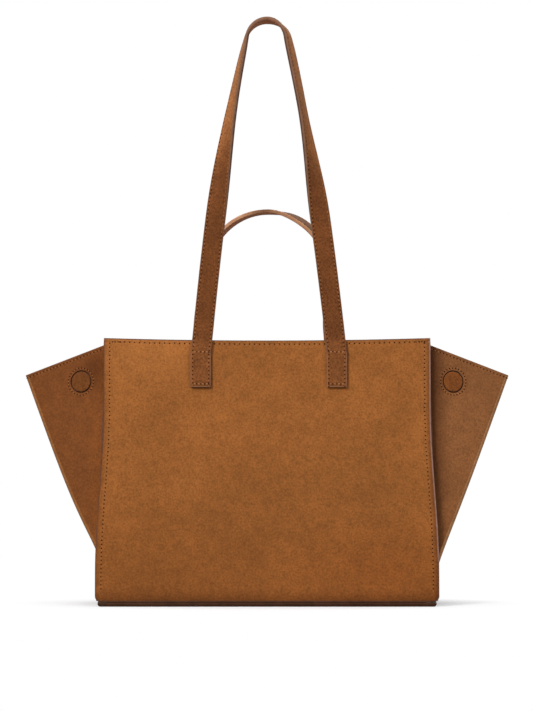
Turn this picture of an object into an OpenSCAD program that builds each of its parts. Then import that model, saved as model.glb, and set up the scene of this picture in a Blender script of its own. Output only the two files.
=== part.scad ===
// Trapeze tote bag: four leather walls on a flat base, with gussets that spread into wings
// at the sides, a long shoulder strap on the front wall and a short hand handle on the back wall.
// The origin is the middle of the base on the floor. +Z is up and the front of the bag faces -Y.

/* [Base] */
// Depth of the base from front to back
base_d = 120; // [90:1:150]
// Thickness of the leather-covered panel under the base
base_panel_t = 4.2; // [2:0.1:6]
// How far each end of that panel lies inside the bottom corner of a wall
base_side_inset = 2; // [0:0.5:8]
// Radius of the corners of the panel, seen from below
base_corner_r = 6; // [1:0.5:20]
// Thickness of the board that keeps the base flat
base_board_t = 2; // [1:0.1:4]
// Thickness of the lining over the base board
base_lining_t = 0.8; // [0.5:0.1:1.5]

/* [Front and back walls] */
// Width of a wall along its top edge
wall_top_w = 326; // [280:1:380]
// Width of a wall along its bottom edge
wall_foot_w = 342; // [290:1:400]
// Height of a wall, measured along the leather
wall_h = 263.5; // [220:0.5:320]
// How far the middle of the top edge sags below its corners
top_sag = 2.5; // [0:0.5:8]
// Radius of the rounded bottom corners
foot_corner_r = 5.5; // [2:0.5:20]
// Depth of the open mouth between the outer faces of the two walls
mouth_d = 72; // [50:1:95]
// Gap between the bottom edge of a wall and the base leather
foot_gap = 0.8; // [0.6:0.1:1.5]
// Thickness of the outer wall leather
wall_leather_t = 1.8; // [1.2:0.1:3]
// Thickness of the lining inside a wall
wall_lining_t = 0.8; // [0.5:0.1:1.5]
// Thickness of the leather facing along the inside of the mouth
facing_t = 1.2; // [0.8:0.1:2]
// Height of that facing
facing_h = 34; // [20:1:60]

/* [Gussets] */
// Distance between the tips of the two wings
wing_span = 487; // [440:1:540]
// Height of the wing tips above the floor
tip_z = 230; // [190:1:250]
// Half the thickness of the folded leather at a wing tip
tip_half = 4; // [3.8:0.1:6]
// Distance from the middle of the bag to the seam that joins a gusset to a wall
seam_x = 157.5; // [140:0.5:158]
// How far the top of that seam lies below the top edge of the wall
seam_drop = 4.4; // [4:0.1:20]
// How far the bottom of that seam lies above the bottom edge of the wall
seam_start = 1; // [0.5:0.1:4]
// Width of the wing at the bottom end of the seam
wing_root = 3; // [2.5:0.1:6]
// How far the folded edge draws in just above the base
fold_draw_in = 6; // [0:0.1:9]
// Radius of the folded edge between a wing and the side of the bag
fold_r = 6; // [5:0.1:9]
// How far the sewn edge of a gusset shows past the edge of the wall
seam_lip = 1; // [0:0.1:2]
// Thickness of the gusset leather
gusset_t = 1.4; // [1:0.1:1.6]
// Thickness of the stiffeners inside a gusset
gusset_board_t = 1.2; // [0.8:0.1:1.4]
// Thickness of the gusset lining
gusset_lining_t = 0.7; // [0.5:0.1:0.8]

/* [Wing buttons] */
// Distance of a button from the middle of the bag
button_x = 186.7; // [180:0.1:195]
// Height of a button above the floor
button_z = 224; // [205:0.5:230]
// Diameter of the leather disc
button_d = 20.2; // [16:0.1:24]
// How far the disc stands out of the wing
button_rise = 0.4; // [0:0.1:1]
// Width of the open ring round the disc
button_gap = 1.2; // [0.6:0.1:2]
// Diameter of the magnet behind the disc
magnet_d = 16; // [10:0.5:18]

/* [Shoulder strap] */
// Width of the strap and of the hand handle
strap_w = 20; // [14:0.5:28]
// Thickness of each of the two leathers in the strap and the handle
strap_leather_t = 1.95; // [1.2:0.05:2.2]
// Distance of each strap end from the middle of the bag
strap_x = 68; // [50:0.5:90]
// Height of the top of the strap above the floor
strap_top_z = 590; // [480:1:680]
// Radius of the strap where it turns at the top
strap_crown_r = 21; // [15:0.1:40]
// How far the strap legs lean in at their lower end, and where they meet the crown, in degrees
strap_leg_lean = [6, 13]; // [0:1:20]
// Height above the floor where the strap starts to twist
strap_twist_z = 370; // [290:1:420]

/* [Hand handle] */
// Height of the top of the handle above the floor
handle_top_z = 398; // [350:1:440]
// Radius of the handle where it turns at the top
handle_crown_r = 57; // [40:1:65]
// How far the handle legs lean in at their lower end, and where they meet the crown, in degrees
handle_leg_lean = [6, 25]; // [0:1:40]
// Height above the floor where the handle starts to twist
handle_twist_z = 270; // [262:1:300]

/* [Sewn ends of strap and handle] */
// Height on the wall of the lower edge of each sewn end
tab_low_h = 213; // [190:0.5:230]
// Height on the wall where a strap or handle leaves its sewn end
tab_top_h = 248.5; // [235:0.5:252]

/* [Hidden] */

// Clearance between leathers that move on each other
slip = 0.15;
tan_leather = "#9c602f";
dark_leather = "#7f4c26";
edge_brown = "#5b3a2b";
lining_brown = "#b08a62";
board_grey = "#8d8378";

// The wall stack is measured as a depth from its outer face
flange_n = wall_leather_t + slip;
notch_n = flange_n + gusset_t;
lining_n = notch_n + slip;
stack_n = lining_n + max(wall_lining_t, facing_t);
wall_foot_z = base_panel_t + foot_gap;
lean = asin((base_d - mouth_d) / 2 / wall_h);
// The side edges of a wall flare between these shares of its height
flare_from = 0.1;
flare_span = 0.65;

// Depths inside the gusset, measured from its outer face
gusset_board_n = gusset_t + slip;
gusset_lining_n = gusset_board_n + gusset_board_t + slip;
gusset_stack_n = gusset_lining_n + gusset_lining_t;

function clamp(v, low, high) = max(low, min(high, v));
function mix(a, b, t) = a + (b - a) * t;
function unit(v) = v / norm(v);
function backwards(list) = [for (i = [len(list) - 1 : -1 : 0]) list[i]];
function mirrored_y(list) = [for (q = list) [q.x, -q.y]];

// Half the width of a wall at height h along the leather
function flare(v) = (1 + cos(180 * clamp(v, 0, 1))) / 2;
function half_width(h) =
    mix(wall_top_w, wall_foot_w, flare((h / wall_h - flare_from) / flare_span)) / 2;

// Outline of a wall as seen from the front, from its foot up to the height head
function wall_outline(inset, foot, head) =
    let (r = foot_corner_r, steps = 14, width = half_width(foot) - inset,
         low = foot + r,
         corner = [for (a = [-90 : 15 : 0]) [width - r + r * cos(a), low + r * sin(a)]],
         side = [for (i = [1 : steps])
                 let (h = mix(low, head, i / steps)) [half_width(h) - inset, h]],
         right = concat(corner, side),
         crest = [for (i = [1 : steps - 1])
                  let (s = mix(1, -1, i / steps))
                  [s * (half_width(head) - inset), head - top_sag * (1 - s * s)]])
    concat(right, crest, [for (q = backwards(right)) [-q.x, q.y]]);

// A point of the front wall: across the bag, depth from the outer face, height on the wall
function wall_point(x, n, h) =
    [x, -base_d / 2 + n * cos(lean) + h * sin(lean),
     wall_foot_z + h * cos(lean) - n * sin(lean)];

// Places flat wall shapes: X across, Y up the wall, and -Z into the bag
module on_wall(side) {
    mirror([0, side == "back" ? 1 : 0, 0])
        translate([0, -base_d / 2, wall_foot_z])
            rotate([90 - lean, 0, 0])
                children();
}

// One flat layer of a wall between two depths
module wall_layer(side, from_n, to_n) {
    on_wall(side)
        translate([0, 0, -to_n])
            linear_extrude(to_n - from_n)
                children();
}

// The left front wing lies in one plane, spread between the seam and the folded edge.
// Rings cross it from the seam to the fold, all of them parallel to its top edge.
seam_top_h = wall_h - seam_drop;
seam_top = wall_point(-seam_x, notch_n, seam_top_h);
seam_low = wall_point(-seam_x, notch_n, seam_start);
tip = [-wing_span / 2, -tip_half, tip_z];
rake = unit(seam_top - tip);
ring_tilt = atan2(rake.z, rake.x);
rake_flat = [norm([rake.x, rake.z]), rake.y];
fold_angle = acos(rake_flat.y);
draw_peak = 0.2;

function seam(u) = mix(seam_low, seam_top, u);
function draw_in(u) = let (v = u / draw_peak) fold_draw_in * pow(v * exp(1 - v), 2);
function ring_length(u) = mix(wing_root, norm(seam_top - tip), u) - draw_in(u);
function fold(u) = seam(u) - ring_length(u) * rake;
function fold_radius(u) =
    min(fold_r, min(0.95 * abs(fold(u).y), 0.9 * ring_length(u)) * tan(fold_angle / 2));

// Where a wall layer at depth n crosses a ring, as a height y over the ring's own axis p
function wall_trace(u, n, p) =
    -base_d / 2 + n / cos(lean) + (fold(u).z + p * sin(ring_tilt) - wall_foot_z) * tan(lean);

// Front half of a ring at depth t inside the gusset: its end on the wall, then the round fold
function half_ring(u, t, wall_n) =
    let (start = [0, fold(u).y] + t * [-rake_flat.y, rake_flat.x],
         slope = sin(ring_tilt) * tan(lean),
         reach = (wall_trace(u, wall_n, start.x) - start.y) / (rake_flat.y - slope * rake_flat.x),
         corner = start + (t - start.x) / rake_flat.x * rake_flat,
         r = max(0.3, fold_radius(u) - t),
         centre = [t + r, corner.y + r / tan(fold_angle / 2)])
    concat([start + reach * rake_flat],
           [for (i = [0 : 6])
            let (a = mix(360 - fold_angle, 180, i / 6)) centre + r * [cos(a), sin(a)]]);

function whole_ring(u, t, wall_n) =
    let (front = half_ring(u, t, wall_n)) concat(front, backwards(mirrored_y(front)));

// Turns a point of ring u into a point of the bag
function ring_point(u, q) =
    [fold(u).x + q.x * cos(ring_tilt), q.y, fold(u).z + q.x * sin(ring_tilt)];

// Closed skin over a row of rings that all have the same number of points. Its ends can be
// made of several flat faces, each given as places on the ring. Two skins share a twisted
// face only if one of them splits its sides the other way.
module skin(rings, end_faces = [], split_back = false) {
    n = len(rings[0]);
    last = len(rings) - 1;
    faces = len(end_faces) > 0 ? end_faces : [[for (i = [0 : n - 1]) i]];
    sides = [for (k = [0 : last - 1], i = [0 : n - 1])
             let (j = (i + 1) % n, a = k * n + i, b = k * n + j)
             each split_back ? [[a, b, a + n], [b, b + n, a + n]]
                             : [[a, b, b + n], [a, b + n, a + n]]];
    ends = [for (face = faces) each [backwards(face), [for (i = face) last * n + i]]];
    polyhedron([for (ring = rings) each ring], concat(sides, ends), convexity = 6);
}

// Rings crowd together near the base, where the folded edge draws in
ring_steps = 14;
function ring_share(k) = pow(k / ring_steps, 1.5);

// One layer of the left gusset between two depths, from the front wall round to the back wall
module gusset_layer(from_t, to_t, wall_n) {
    skin([for (k = [0 : ring_steps])
          let (u = ring_share(k))
          [for (q = concat(whole_ring(u, from_t, wall_n), backwards(whole_ring(u, to_t, wall_n))))
           ring_point(u, q)]]);
}

// The leather itself also has a sewn edge, flat against the back of each wall leather
function seam_h(u) = mix(seam_start, seam_top_h, u);
function other_side(list) = [for (point = list) [point.x, -point.y, point.z]];
function leather_half(u, t) = [for (q = half_ring(u, t, notch_n)) ring_point(u, q)];
function leather_ring(u) =
    let (outer = leather_half(u, 0), inner = leather_half(u, gusset_t),
         edge = wall_point(-half_width(seam_h(u)) - seam_lip, notch_n, seam_h(u)),
         sheet = gusset_t * [0, cos(lean), -sin(lean)],
         sewn = [inner[0] - sheet, outer[0] - sheet, edge - sheet])
    concat([edge], outer, backwards(other_side(outer)), other_side([edge]),
           backwards(other_side(sewn)), other_side(inner), backwards(inner), sewn);

// Both ends of that skin are flat faces: the two sewn edges and the wing between them
leather_ends = [[0, 1, 38, 39], [1, 36, 37, 38], [16, 17, 18, 19], [16, 19, 20, 21],
                concat([for (i = [1 : 16]) i], [for (i = [21 : 36]) i])];

// How far the inner face of a wing meets the wall past the seam
flange_in = leather_half(1, gusset_t)[0].x + seam_x;

// The plane of the left front wing: X runs from the seam to the tip and Z points inwards
wing_out = unit(cross(rake, seam_top - seam_low));
wing_x = -rake;
wing_z = -wing_out;
wing_y = cross(wing_z, wing_x);

module on_wing() {
    multmatrix([[wing_x.x, wing_y.x, wing_z.x, seam_top.x],
                [wing_x.y, wing_y.y, wing_z.y, seam_top.y],
                [wing_x.z, wing_y.z, wing_z.z, seam_top.z]])
        children();
}

function in_wing(point) = [(point - seam_top) * wing_x, (point - seam_top) * wing_y];
button_from_seam = [-button_x - seam_top.x, 0, button_z - seam_top.z];
button_y = seam_top.y - (wing_out * button_from_seam) / wing_out.y;
button_at = in_wing([-button_x, button_y, button_z]);

// Puts a left front piece in one of the four wings
module in_quarter(x_side, y_side) {
    mirror([x_side == "right" ? 1 : 0, 0, 0])
        mirror([0, y_side == "back" ? 1 : 0, 0])
            children();
}

module left_gusset_leather() {
    difference() {
        skin([for (k = [0 : ring_steps]) leather_ring(ring_share(k))], leather_ends);
        for (y_side = ["front", "back"])
            in_quarter("left", y_side)
                on_wing()
                    translate([button_at.x, button_at.y, -1])
                        cylinder(d = button_d + 2 * button_gap, h = gusset_t + 1.2, $fn = 48);
    }
}

// Board inside a wing, with a bore that holds the magnet
wing_board_from_seam = 7;
wing_board_from_fold = 11;
wing_board_low_u = 0.3;
wing_board_high_u = 0.975;
magnet_fit = 0.2;

module wing_stiffener() {
    steps = 10;
    outline = concat(
        [for (k = [0 : steps])
         let (u = mix(wing_board_low_u, wing_board_high_u, k / steps))
         in_wing(fold(u) + wing_board_from_fold * rake)],
        [for (u = [wing_board_high_u, wing_board_low_u])
         in_wing(seam(u) - wing_board_from_seam * rake)]);
    on_wing()
        translate([0, 0, gusset_board_n])
            difference() {
                linear_extrude(gusset_board_t) polygon(outline);
                translate([button_at.x, button_at.y, -1])
                    cylinder(d = magnet_d + 2 * magnet_fit, h = gusset_board_t + 2, $fn = 48);
            }
}

module wing_magnet() {
    on_wing()
        translate([button_at.x, button_at.y, gusset_board_n])
            cylinder(d = magnet_d, h = gusset_board_t, $fn = 48);
}

// Leather disc with a softly rounded rim, seated on the wing board
module wing_button() {
    rim = 0.6;
    r = button_d / 2;
    rise = gusset_board_n + button_rise;
    on_wing()
        translate([button_at.x, button_at.y, gusset_board_n])
            mirror([0, 0, 1])
                rotate_extrude($fn = 48)
                    polygon(concat([[0, 0], [r, 0]],
                                   [for (a = [0 : 30 : 90])
                                    [r - rim + rim * cos(a), rise - rim + rim * sin(a)]],
                                   [[0, rise]]));
}

// Board behind the side of the bag, between the two folded edges, on the gusset's own rings
side_board_from_fold = 8;
side_board_rings = [3 : 12];

module side_stiffener() {
    skin([for (k = side_board_rings)
          let (u = ring_share(k),
               t0 = gusset_board_n, t1 = gusset_board_n + gusset_board_t,
               w = abs(fold(u).y) - side_board_from_fold)
          [for (q = [[t0, -w], [t0, w], [t1, w], [t1, -w]]) ring_point(u, q)]]);
}

// Base pieces lie flat on each other, inside the four walls
board_half_x = seam_x - gusset_stack_n + wing_root * rake.x - slip;
board_half_y = base_d / 2 - stack_n - foot_gap;

// Outline of the base panel, seen from below
base_outline =
    let (r = base_corner_r, x = wall_foot_w / 2 - base_side_inset - r, y = base_d / 2 - r)
    [for (q = [[1, 1, 0], [-1, 1, 90], [-1, -1, 180], [1, -1, 270]], a = [0 : 15 : 90])
        [q.x * x + r * cos(q.z + a), q.y * y + r * sin(q.z + a)]];

module base_panel() {
    color(dark_leather)
        linear_extrude(height = base_panel_t)
            polygon(base_outline);
}

module base_board() {
    color(board_grey)
        translate([-board_half_x, -board_half_y, base_panel_t])
            cube([2 * board_half_x, 2 * board_half_y, base_board_t]);
}

module base_lining() {
    color(lining_brown)
        translate([-board_half_x, -board_half_y, base_panel_t + base_board_t])
            cube([2 * board_half_x, 2 * board_half_y, base_lining_t]);
}

module wall_panel(side) {
    color(tan_leather)
        wall_layer(side, 0, wall_leather_t)
            polygon(wall_outline(0, 0, wall_h));
}

// The stiffener fills the depth between the two sewn gusset edges
stiffener_half_x = seam_x - flange_in - 1;
stiffener_low_h = 4;

module wall_stiffener(side) {
    color(board_grey)
        wall_layer(side, wall_leather_t, lining_n)
            translate([-stiffener_half_x, stiffener_low_h])
                square([2 * stiffener_half_x, wall_h - top_sag - stiffener_low_h - 0.5]);
}

// The lining ends where the leather facing starts
facing_low_h = wall_h - facing_h;
lining_half_x = stiffener_half_x - 1.5;

module wall_lining(side) {
    color(lining_brown)
        wall_layer(side, lining_n, lining_n + wall_lining_t)
            translate([-lining_half_x, stiffener_low_h])
                square([2 * lining_half_x, facing_low_h - stiffener_low_h - slip]);
}

module wall_facing(side) {
    color(dark_leather)
        wall_layer(side, lining_n, lining_n + facing_t)
            translate([-lining_half_x, facing_low_h])
                square([2 * lining_half_x, facing_h - top_sag - 0.5]);
}

module left_gusset() { color(dark_leather) left_gusset_leather(); }
module right_gusset() { color(dark_leather) mirror([1, 0, 0]) left_gusset_leather(); }

module gusset_lining(x_side) {
    color(lining_brown)
        in_quarter(x_side, "front")
            gusset_layer(gusset_lining_n, gusset_stack_n, stack_n + slip);
}

// The strap and the handle leave the wall flat, straighten up at its top edge,
// and twist until their outer face looks up at the crown
strap_t = 2 * strap_leather_t;
// A leg makes most of its turn, in degrees, in this share of its way to the crown
early_twist = 75;
early_share = 0.72;
bend_len = 16;
bend_h = wall_h + 1;

// Depth of the middle of a strap, and its lean, at height h measured along the wall
function strap_lean(h) = lean * (1 - clamp((h - bend_h) / bend_len, 0, 1));
function bend_drift(h) =
    let (w = clamp(h - bend_h, 0, bend_len)) w * (1 - w / bend_len / 2) * lean * PI / 180;
function strap_middle(x, h) =
    let (foot = wall_point(x, -strap_t / 2, min(h, bend_h)))
    foot + [0, bend_drift(h), max(h - bend_h, 0)];

// Arch in the plane of the strap: leg up to the crown, given as place, direction and twist
function bezier(a, b, c, d, t) =
    pow(1 - t, 3) * a + 3 * pow(1 - t, 2) * t * b + 3 * (1 - t) * t * t * c + pow(t, 3) * d;
function arch_twist(h, twist_h, crown_h) =
    let (v = clamp((h - twist_h) / (crown_h - twist_h), 0, 1),
         early = sin(90 * pow(min(1, v / early_share), 1.2)))
    early_twist * early + (90 - early_twist) * pow(v, 8);
function half_arch(top_h, crown_r, leg_lean, twist_h) =
    let (centre = [0, top_h - crown_r], low = leg_lean[0], high = leg_lean[1],
         start = [-strap_x, tab_top_h + slip],
         end = centre + crown_r * [-cos(high), sin(high)],
         pull = norm(end - start) / 3,
         a = start + pull * [sin(low), cos(low)],
         b = end - pull * [sin(high), cos(high)],
         legs = [for (i = [0 : 22]) bezier(start, a, b, end, i / 22)],
         crown = [for (i = [1 : 7])
                  let (g = mix(180 - high, 90, i / 7)) centre + crown_r * [cos(g), sin(g)]])
    concat(legs, crown);

// A corner of the strap's section: w across its width and f out of its outer face
function strap_corner(here, ahead, twist, w, f) =
    let (up = strap_lean(here.y), along = unit(ahead),
         rise = [0, sin(up), cos(up)], out = [0, -cos(up), sin(up)],
         across = [along.y, 0, 0] - along.x * rise,
         wide = across * cos(twist) + out * sin(twist),
         face = out * cos(twist) - across * sin(twist))
    strap_middle(here.x, here.y) + w * wide + f * face;

module strap_leather(top_z, crown_r, leg_lean, twist_z, from_f, to_f) {
    inner = from_f < 0;
    rise = wall_point(0, -strap_t / 2, bend_h).z - bend_h;
    top_h = top_z - strap_t / 2 - rise;
    half = half_arch(top_h, crown_r, leg_lean, twist_z - rise);
    whole = concat(half, [for (i = [len(half) - 2 : -1 : 0]) [-half[i].x, half[i].y]]);
    last = len(whole) - 1;
    skin([for (i = [0 : last])
          let (here = whole[i],
               ahead = i == 0 ? [0, 1] : i == last ? [0, -1] : whole[i + 1] - whole[i - 1],
               twist = arch_twist(here.y, twist_z - rise, top_h))
          [for (q = [[-1, from_f], [1, from_f], [1, to_f], [-1, to_f]])
           strap_corner(here, ahead, twist, q[0] * strap_w / 2, q[1])]],
         split_back = inner);
}

module shoulder_strap() {
    color(tan_leather)
        strap_leather(strap_top_z, strap_crown_r, strap_leg_lean, strap_twist_z,
                      0, strap_leather_t);
}

module shoulder_strap_backing() {
    color(edge_brown)
        strap_leather(strap_top_z, strap_crown_r, strap_leg_lean, strap_twist_z,
                      -strap_leather_t, 0);
}

module hand_handle() {
    color(tan_leather)
        mirror([0, 1, 0])
            strap_leather(handle_top_z, handle_crown_r, handle_leg_lean, handle_twist_z,
                          0, strap_leather_t);
}

module hand_handle_backing() {
    color(edge_brown)
        mirror([0, 1, 0])
            strap_leather(handle_top_z, handle_crown_r, handle_leg_lean, handle_twist_z,
                          -strap_leather_t, 0);
}

// Sewn end of a strap or handle, flat on the outside of a wall
module sewn_tab(side, x) {
    color(dark_leather)
        wall_layer(side, -strap_t, 0)
            translate([x - strap_w / 2, tab_low_h])
                square([strap_w, tab_top_h - tab_low_h]);
}

module wing_piece(x_side, y_side, paint) {
    color(paint) in_quarter(x_side, y_side) children();
}

base_panel();
base_board();
base_lining();
wall_panel("front");  // front_panel
wall_stiffener("front");  // front_stiffener
wall_lining("front");  // front_lining
wall_facing("front");  // front_facing
wall_panel("back");  // back_panel
wall_stiffener("back");  // back_stiffener
wall_lining("back");  // back_lining
wall_facing("back");  // back_facing
left_gusset();
right_gusset();
gusset_lining("left");  // left_gusset_lining
gusset_lining("right");  // right_gusset_lining
for (x_side = ["left", "right"])
    wing_piece(x_side, "front", board_grey) side_stiffener();
for (x_side = ["left", "right"], y_side = ["front", "back"]) {
    place = str(x_side, "_", y_side);
    wing_piece(x_side, y_side, board_grey) wing_stiffener();
    wing_piece(x_side, y_side, tan_leather) wing_button();
    wing_piece(x_side, y_side, "silver") wing_magnet();
}
sewn_tab("front", -strap_x);  // left_strap_tab
sewn_tab("front", strap_x);  // right_strap_tab
shoulder_strap();
shoulder_strap_backing();
sewn_tab("back", -strap_x);  // left_handle_tab
sewn_tab("back", strap_x);  // right_handle_tab
hand_handle();
hand_handle_backing();
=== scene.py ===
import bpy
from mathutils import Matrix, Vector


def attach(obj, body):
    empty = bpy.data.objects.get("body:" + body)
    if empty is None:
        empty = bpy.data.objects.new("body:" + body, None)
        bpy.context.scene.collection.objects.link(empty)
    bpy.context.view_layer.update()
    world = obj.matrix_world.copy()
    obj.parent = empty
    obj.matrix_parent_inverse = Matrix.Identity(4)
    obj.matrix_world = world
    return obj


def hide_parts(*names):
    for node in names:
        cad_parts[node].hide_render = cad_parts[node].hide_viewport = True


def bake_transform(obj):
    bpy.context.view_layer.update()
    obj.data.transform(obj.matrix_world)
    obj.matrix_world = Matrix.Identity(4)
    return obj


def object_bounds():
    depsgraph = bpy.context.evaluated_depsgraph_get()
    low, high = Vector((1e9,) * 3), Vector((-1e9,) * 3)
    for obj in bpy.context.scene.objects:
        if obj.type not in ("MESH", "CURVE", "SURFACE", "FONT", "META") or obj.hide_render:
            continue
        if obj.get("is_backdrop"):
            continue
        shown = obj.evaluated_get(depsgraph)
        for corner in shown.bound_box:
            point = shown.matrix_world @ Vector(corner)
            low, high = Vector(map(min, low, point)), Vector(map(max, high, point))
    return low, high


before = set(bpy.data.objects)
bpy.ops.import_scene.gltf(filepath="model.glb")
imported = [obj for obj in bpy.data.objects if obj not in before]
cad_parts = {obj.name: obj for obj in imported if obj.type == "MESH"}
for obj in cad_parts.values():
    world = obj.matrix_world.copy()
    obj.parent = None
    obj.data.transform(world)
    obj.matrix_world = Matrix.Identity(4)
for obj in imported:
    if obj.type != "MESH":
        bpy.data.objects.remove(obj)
cad_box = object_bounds()

# %% Modules and units
import math
import random

import bpy
from mathutils import Matrix, Vector

MM = 0.001
SIDES = {"front": 1, "back": -1}
HANDS = {"left": 1, "right": -1}
QUARTERS = [(hand, side) for hand in HANDS for side in SIDES]


def clamp(value):
    """The value, held between 0 and 1."""
    return min(1.0, max(0.0, value))


def soften(share):
    """A share from 0 to 1 that starts and ends slowly."""
    return share * share * (3 - 2 * share)


# %% [markdown]
# ## The camera
# The photograph was taken level with the middle of the bag and from far away, so its upright
# lines stay upright and the wings look as wide as they are. A long lens at 4.5 metres does the
# same, and with the camera at the height of the picture's middle it needs no shift.
# %% Camera
PICTURE_TALL = 0.7092
FRONT_Y = -0.05
CAMERA_PLACE = Vector((-0.0006, -4.55, 0.2502))
SENSOR = 24.0


def add_camera():
    """A level camera that fits 0.709 m of the front wall into the height of the picture."""
    lens_data = bpy.data.cameras.new("camera")
    lens_data.sensor_fit = "VERTICAL"
    lens_data.sensor_height = SENSOR
    lens_data.lens = SENSOR * (FRONT_Y - CAMERA_PLACE.y) / PICTURE_TALL
    camera = bpy.data.objects.new("camera", lens_data)
    bpy.context.collection.objects.link(camera)
    camera.location = CAMERA_PLACE
    camera.rotation_euler = (math.radians(90), 0, 0)
    bpy.context.scene.camera = camera
    return camera


camera = add_camera()
print("Lens:", round(camera.data.lens, 1), "mm")

# %% [markdown]
# ## The studio
# Nubuck has no shine, so its colour comes from soft light. The shadows beside the sewn strap
# ends fall to the lower right, so the main lamp stands on the upper left. It is small enough to
# keep those shadows crisp. A weaker lamp on the right, one over the bag and one behind it fill
# in. They are kept at a level at which a colour renders about as it is written.
# %% Lamps
LAMPS = {
    "lamp_key": ((-1.5, -2.3, 2.0), 0.7, 79),
    "lamp_fill": ((1.9, -2.2, 1.1), 1.6, 18),
    "lamp_top": ((0.0, -0.5, 2.6), 1.6, 18),
    "lamp_back": ((0.6, 2.4, 1.8), 1.8, 30),
}
LAMPS_AIM = Vector((0, 0, 0.25))


def add_lamp(name, place, size, power):
    """A square area lamp that points at the middle of the bag."""
    lamp_data = bpy.data.lights.new(name, "AREA")
    lamp_data.size = size
    lamp_data.energy = power
    lamp = bpy.data.objects.new(name, lamp_data)
    bpy.context.collection.objects.link(lamp)
    lamp.location = place
    lamp.rotation_euler = (LAMPS_AIM - Vector(place)).to_track_quat("-Z", "Y").to_euler()


for lamp_name, (place, size, power) in LAMPS.items():
    add_lamp(lamp_name, place, size, power)
print("Lamps:", ", ".join(LAMPS))

# %% [markdown]
# The background is pure white, but white light from every side would wash the leather out.
# So the world is white only to the camera and in mirrors, and a soft grey to the leather.
# %% A helper for shader nodes
def put(tree, kind, inputs=None, **settings):
    """Adds a shader node. Each input takes a value, or an output of a node added before."""
    node = tree.nodes.new("ShaderNode" + kind)
    for key, value in settings.items():
        setattr(node, key, value)
    for key, value in (inputs or {}).items():
        if isinstance(value, bpy.types.NodeSocket):
            tree.links.new(value, node.inputs[key])
        else:
            node.inputs[key].default_value = value
    return node


# %% World
WORLD_LIGHT = 0.24
WHITE = (1, 1, 1, 1)


def seen_directly(tree):
    """A value that is 1 for camera, glossy and transmission rays, and 0 for all others."""
    path = put(tree, "LightPath")
    total = path.outputs["Is Camera Ray"]
    for ray in ("Is Glossy Ray", "Is Transmission Ray"):
        most = put(tree, "Math", {0: total, 1: path.outputs[ray]}, operation="MAXIMUM")
        total = most.outputs[0]
    return total


def light_the_world():
    world = bpy.data.worlds.new("studio_world")
    bpy.context.scene.world = world
    world.use_nodes = True
    tree = world.node_tree
    tree.nodes.clear()
    grey = put(tree, "Background", {"Color": (1.0, 0.98, 0.96, 1), "Strength": WORLD_LIGHT})
    white = put(tree, "Background", {"Color": WHITE, "Strength": 1.0})
    mix = put(tree, "MixShader",
              {0: seen_directly(tree), 1: grey.outputs[0], 2: white.outputs[0]})
    put(tree, "OutputWorld", {"Surface": mix.outputs[0]})


light_the_world()
bpy.context.scene.view_settings.view_transform = "Standard"
print("World:", bpy.context.scene.world.name)

# %% [markdown]
# ## The floor
# The photograph shows a white floor with no edge and only a faint shadow. A wide plane does
# this with two finishes mixed: one glows white to the camera, the other is lit and takes the
# shadow. Away from the bag the glow wins, so that the floor has no visible end. To the leather
# the floor is grey: a white one would light the foot of the bag from below, where the
# photograph is darkest.
# %% Floor
SHADOW_SHARE = 0.34
SHADOW_X, SHADOW_Y, SHADOW_FADE = 0.175, 0.085, (0.95, 1.5)
FLOOR_BOUNCE, FLOOR_SEEN = (0.35, 0.35, 0.35, 1), (0.9, 0.89, 0.92, 1)


def floor_material():
    material = bpy.data.materials.new("studio_floor")
    material.use_nodes = True
    tree = material.node_tree
    tree.nodes.clear()
    tone = put(tree, "Mix", {"Factor": seen_directly(tree), "A": FLOOR_BOUNCE, "B": FLOOR_SEEN},
               data_type="RGBA")
    lit = put(tree, "BsdfDiffuse", {"Color": tone.outputs["Result"]})
    glow = put(tree, "Emission", {"Color": WHITE, "Strength": 1.0})
    place = put(tree, "TexCoord")
    ellipse = put(tree, "Mapping", {"Vector": place.outputs["Object"],
                                    "Scale": (1 / SHADOW_X, 1 / SHADOW_Y, 1)})
    reach = put(tree, "VectorMath", {0: ellipse.outputs["Vector"]}, operation="LENGTH")
    fade = put(tree, "MapRange", {"Value": reach.outputs["Value"],
                                  "From Min": SHADOW_FADE[0], "From Max": SHADOW_FADE[1],
                                  "To Min": SHADOW_SHARE, "To Max": 1.0})
    seen = put(tree, "Math", {0: fade.outputs["Result"], 1: seen_directly(tree)},
               operation="MULTIPLY")
    mix = put(tree, "MixShader", {0: seen.outputs[0], 1: lit.outputs[0], 2: glow.outputs[0]})
    put(tree, "OutputMaterial", {"Surface": mix.outputs[0]})
    return material


def deselect():
    if bpy.context.object and bpy.context.object.mode != "OBJECT":
        bpy.ops.object.mode_set(mode="OBJECT")
    bpy.ops.object.select_all(action="DESELECT")


deselect()
bpy.ops.mesh.primitive_plane_add(size=12, location=(0, 0, 0))
floor = bpy.context.object
floor.name = "studio_floor"
floor.data.materials.append(floor_material())
floor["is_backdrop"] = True
print("Floor:", tuple(round(v, 1) for v in floor.dimensions))

# %% [markdown]
# ## Finishes
# Nubuck is leather whose grain side is sanded until it has a short nap. Seen close it has three
# layers of pattern: clouds as wide as a hand where the nap lies differently, patches of a few
# millimetres, and a grain finer than a millimetre. Each layer is a noise on Object coordinates,
# so it stays fixed to the bag from every side. The nap scatters light at its tips, which Sheen
# does, and nothing on it is glossy.
# %% Helpers for patterns and colours
def noise(tree, scale, detail, roughness=0.55, seed=0.0):
    """A noise on Object coordinates. Its scale is in waves per metre."""
    place = put(tree, "TexCoord")
    mapping = put(tree, "Mapping", {"Vector": place.outputs["Object"],
                                    "Location": (seed, seed * 0.7, -seed)})
    texture = put(tree, "TexNoise", {"Vector": mapping.outputs["Vector"], "Scale": scale,
                                     "Detail": detail, "Roughness": roughness})
    return texture.outputs["Fac"]


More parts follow.
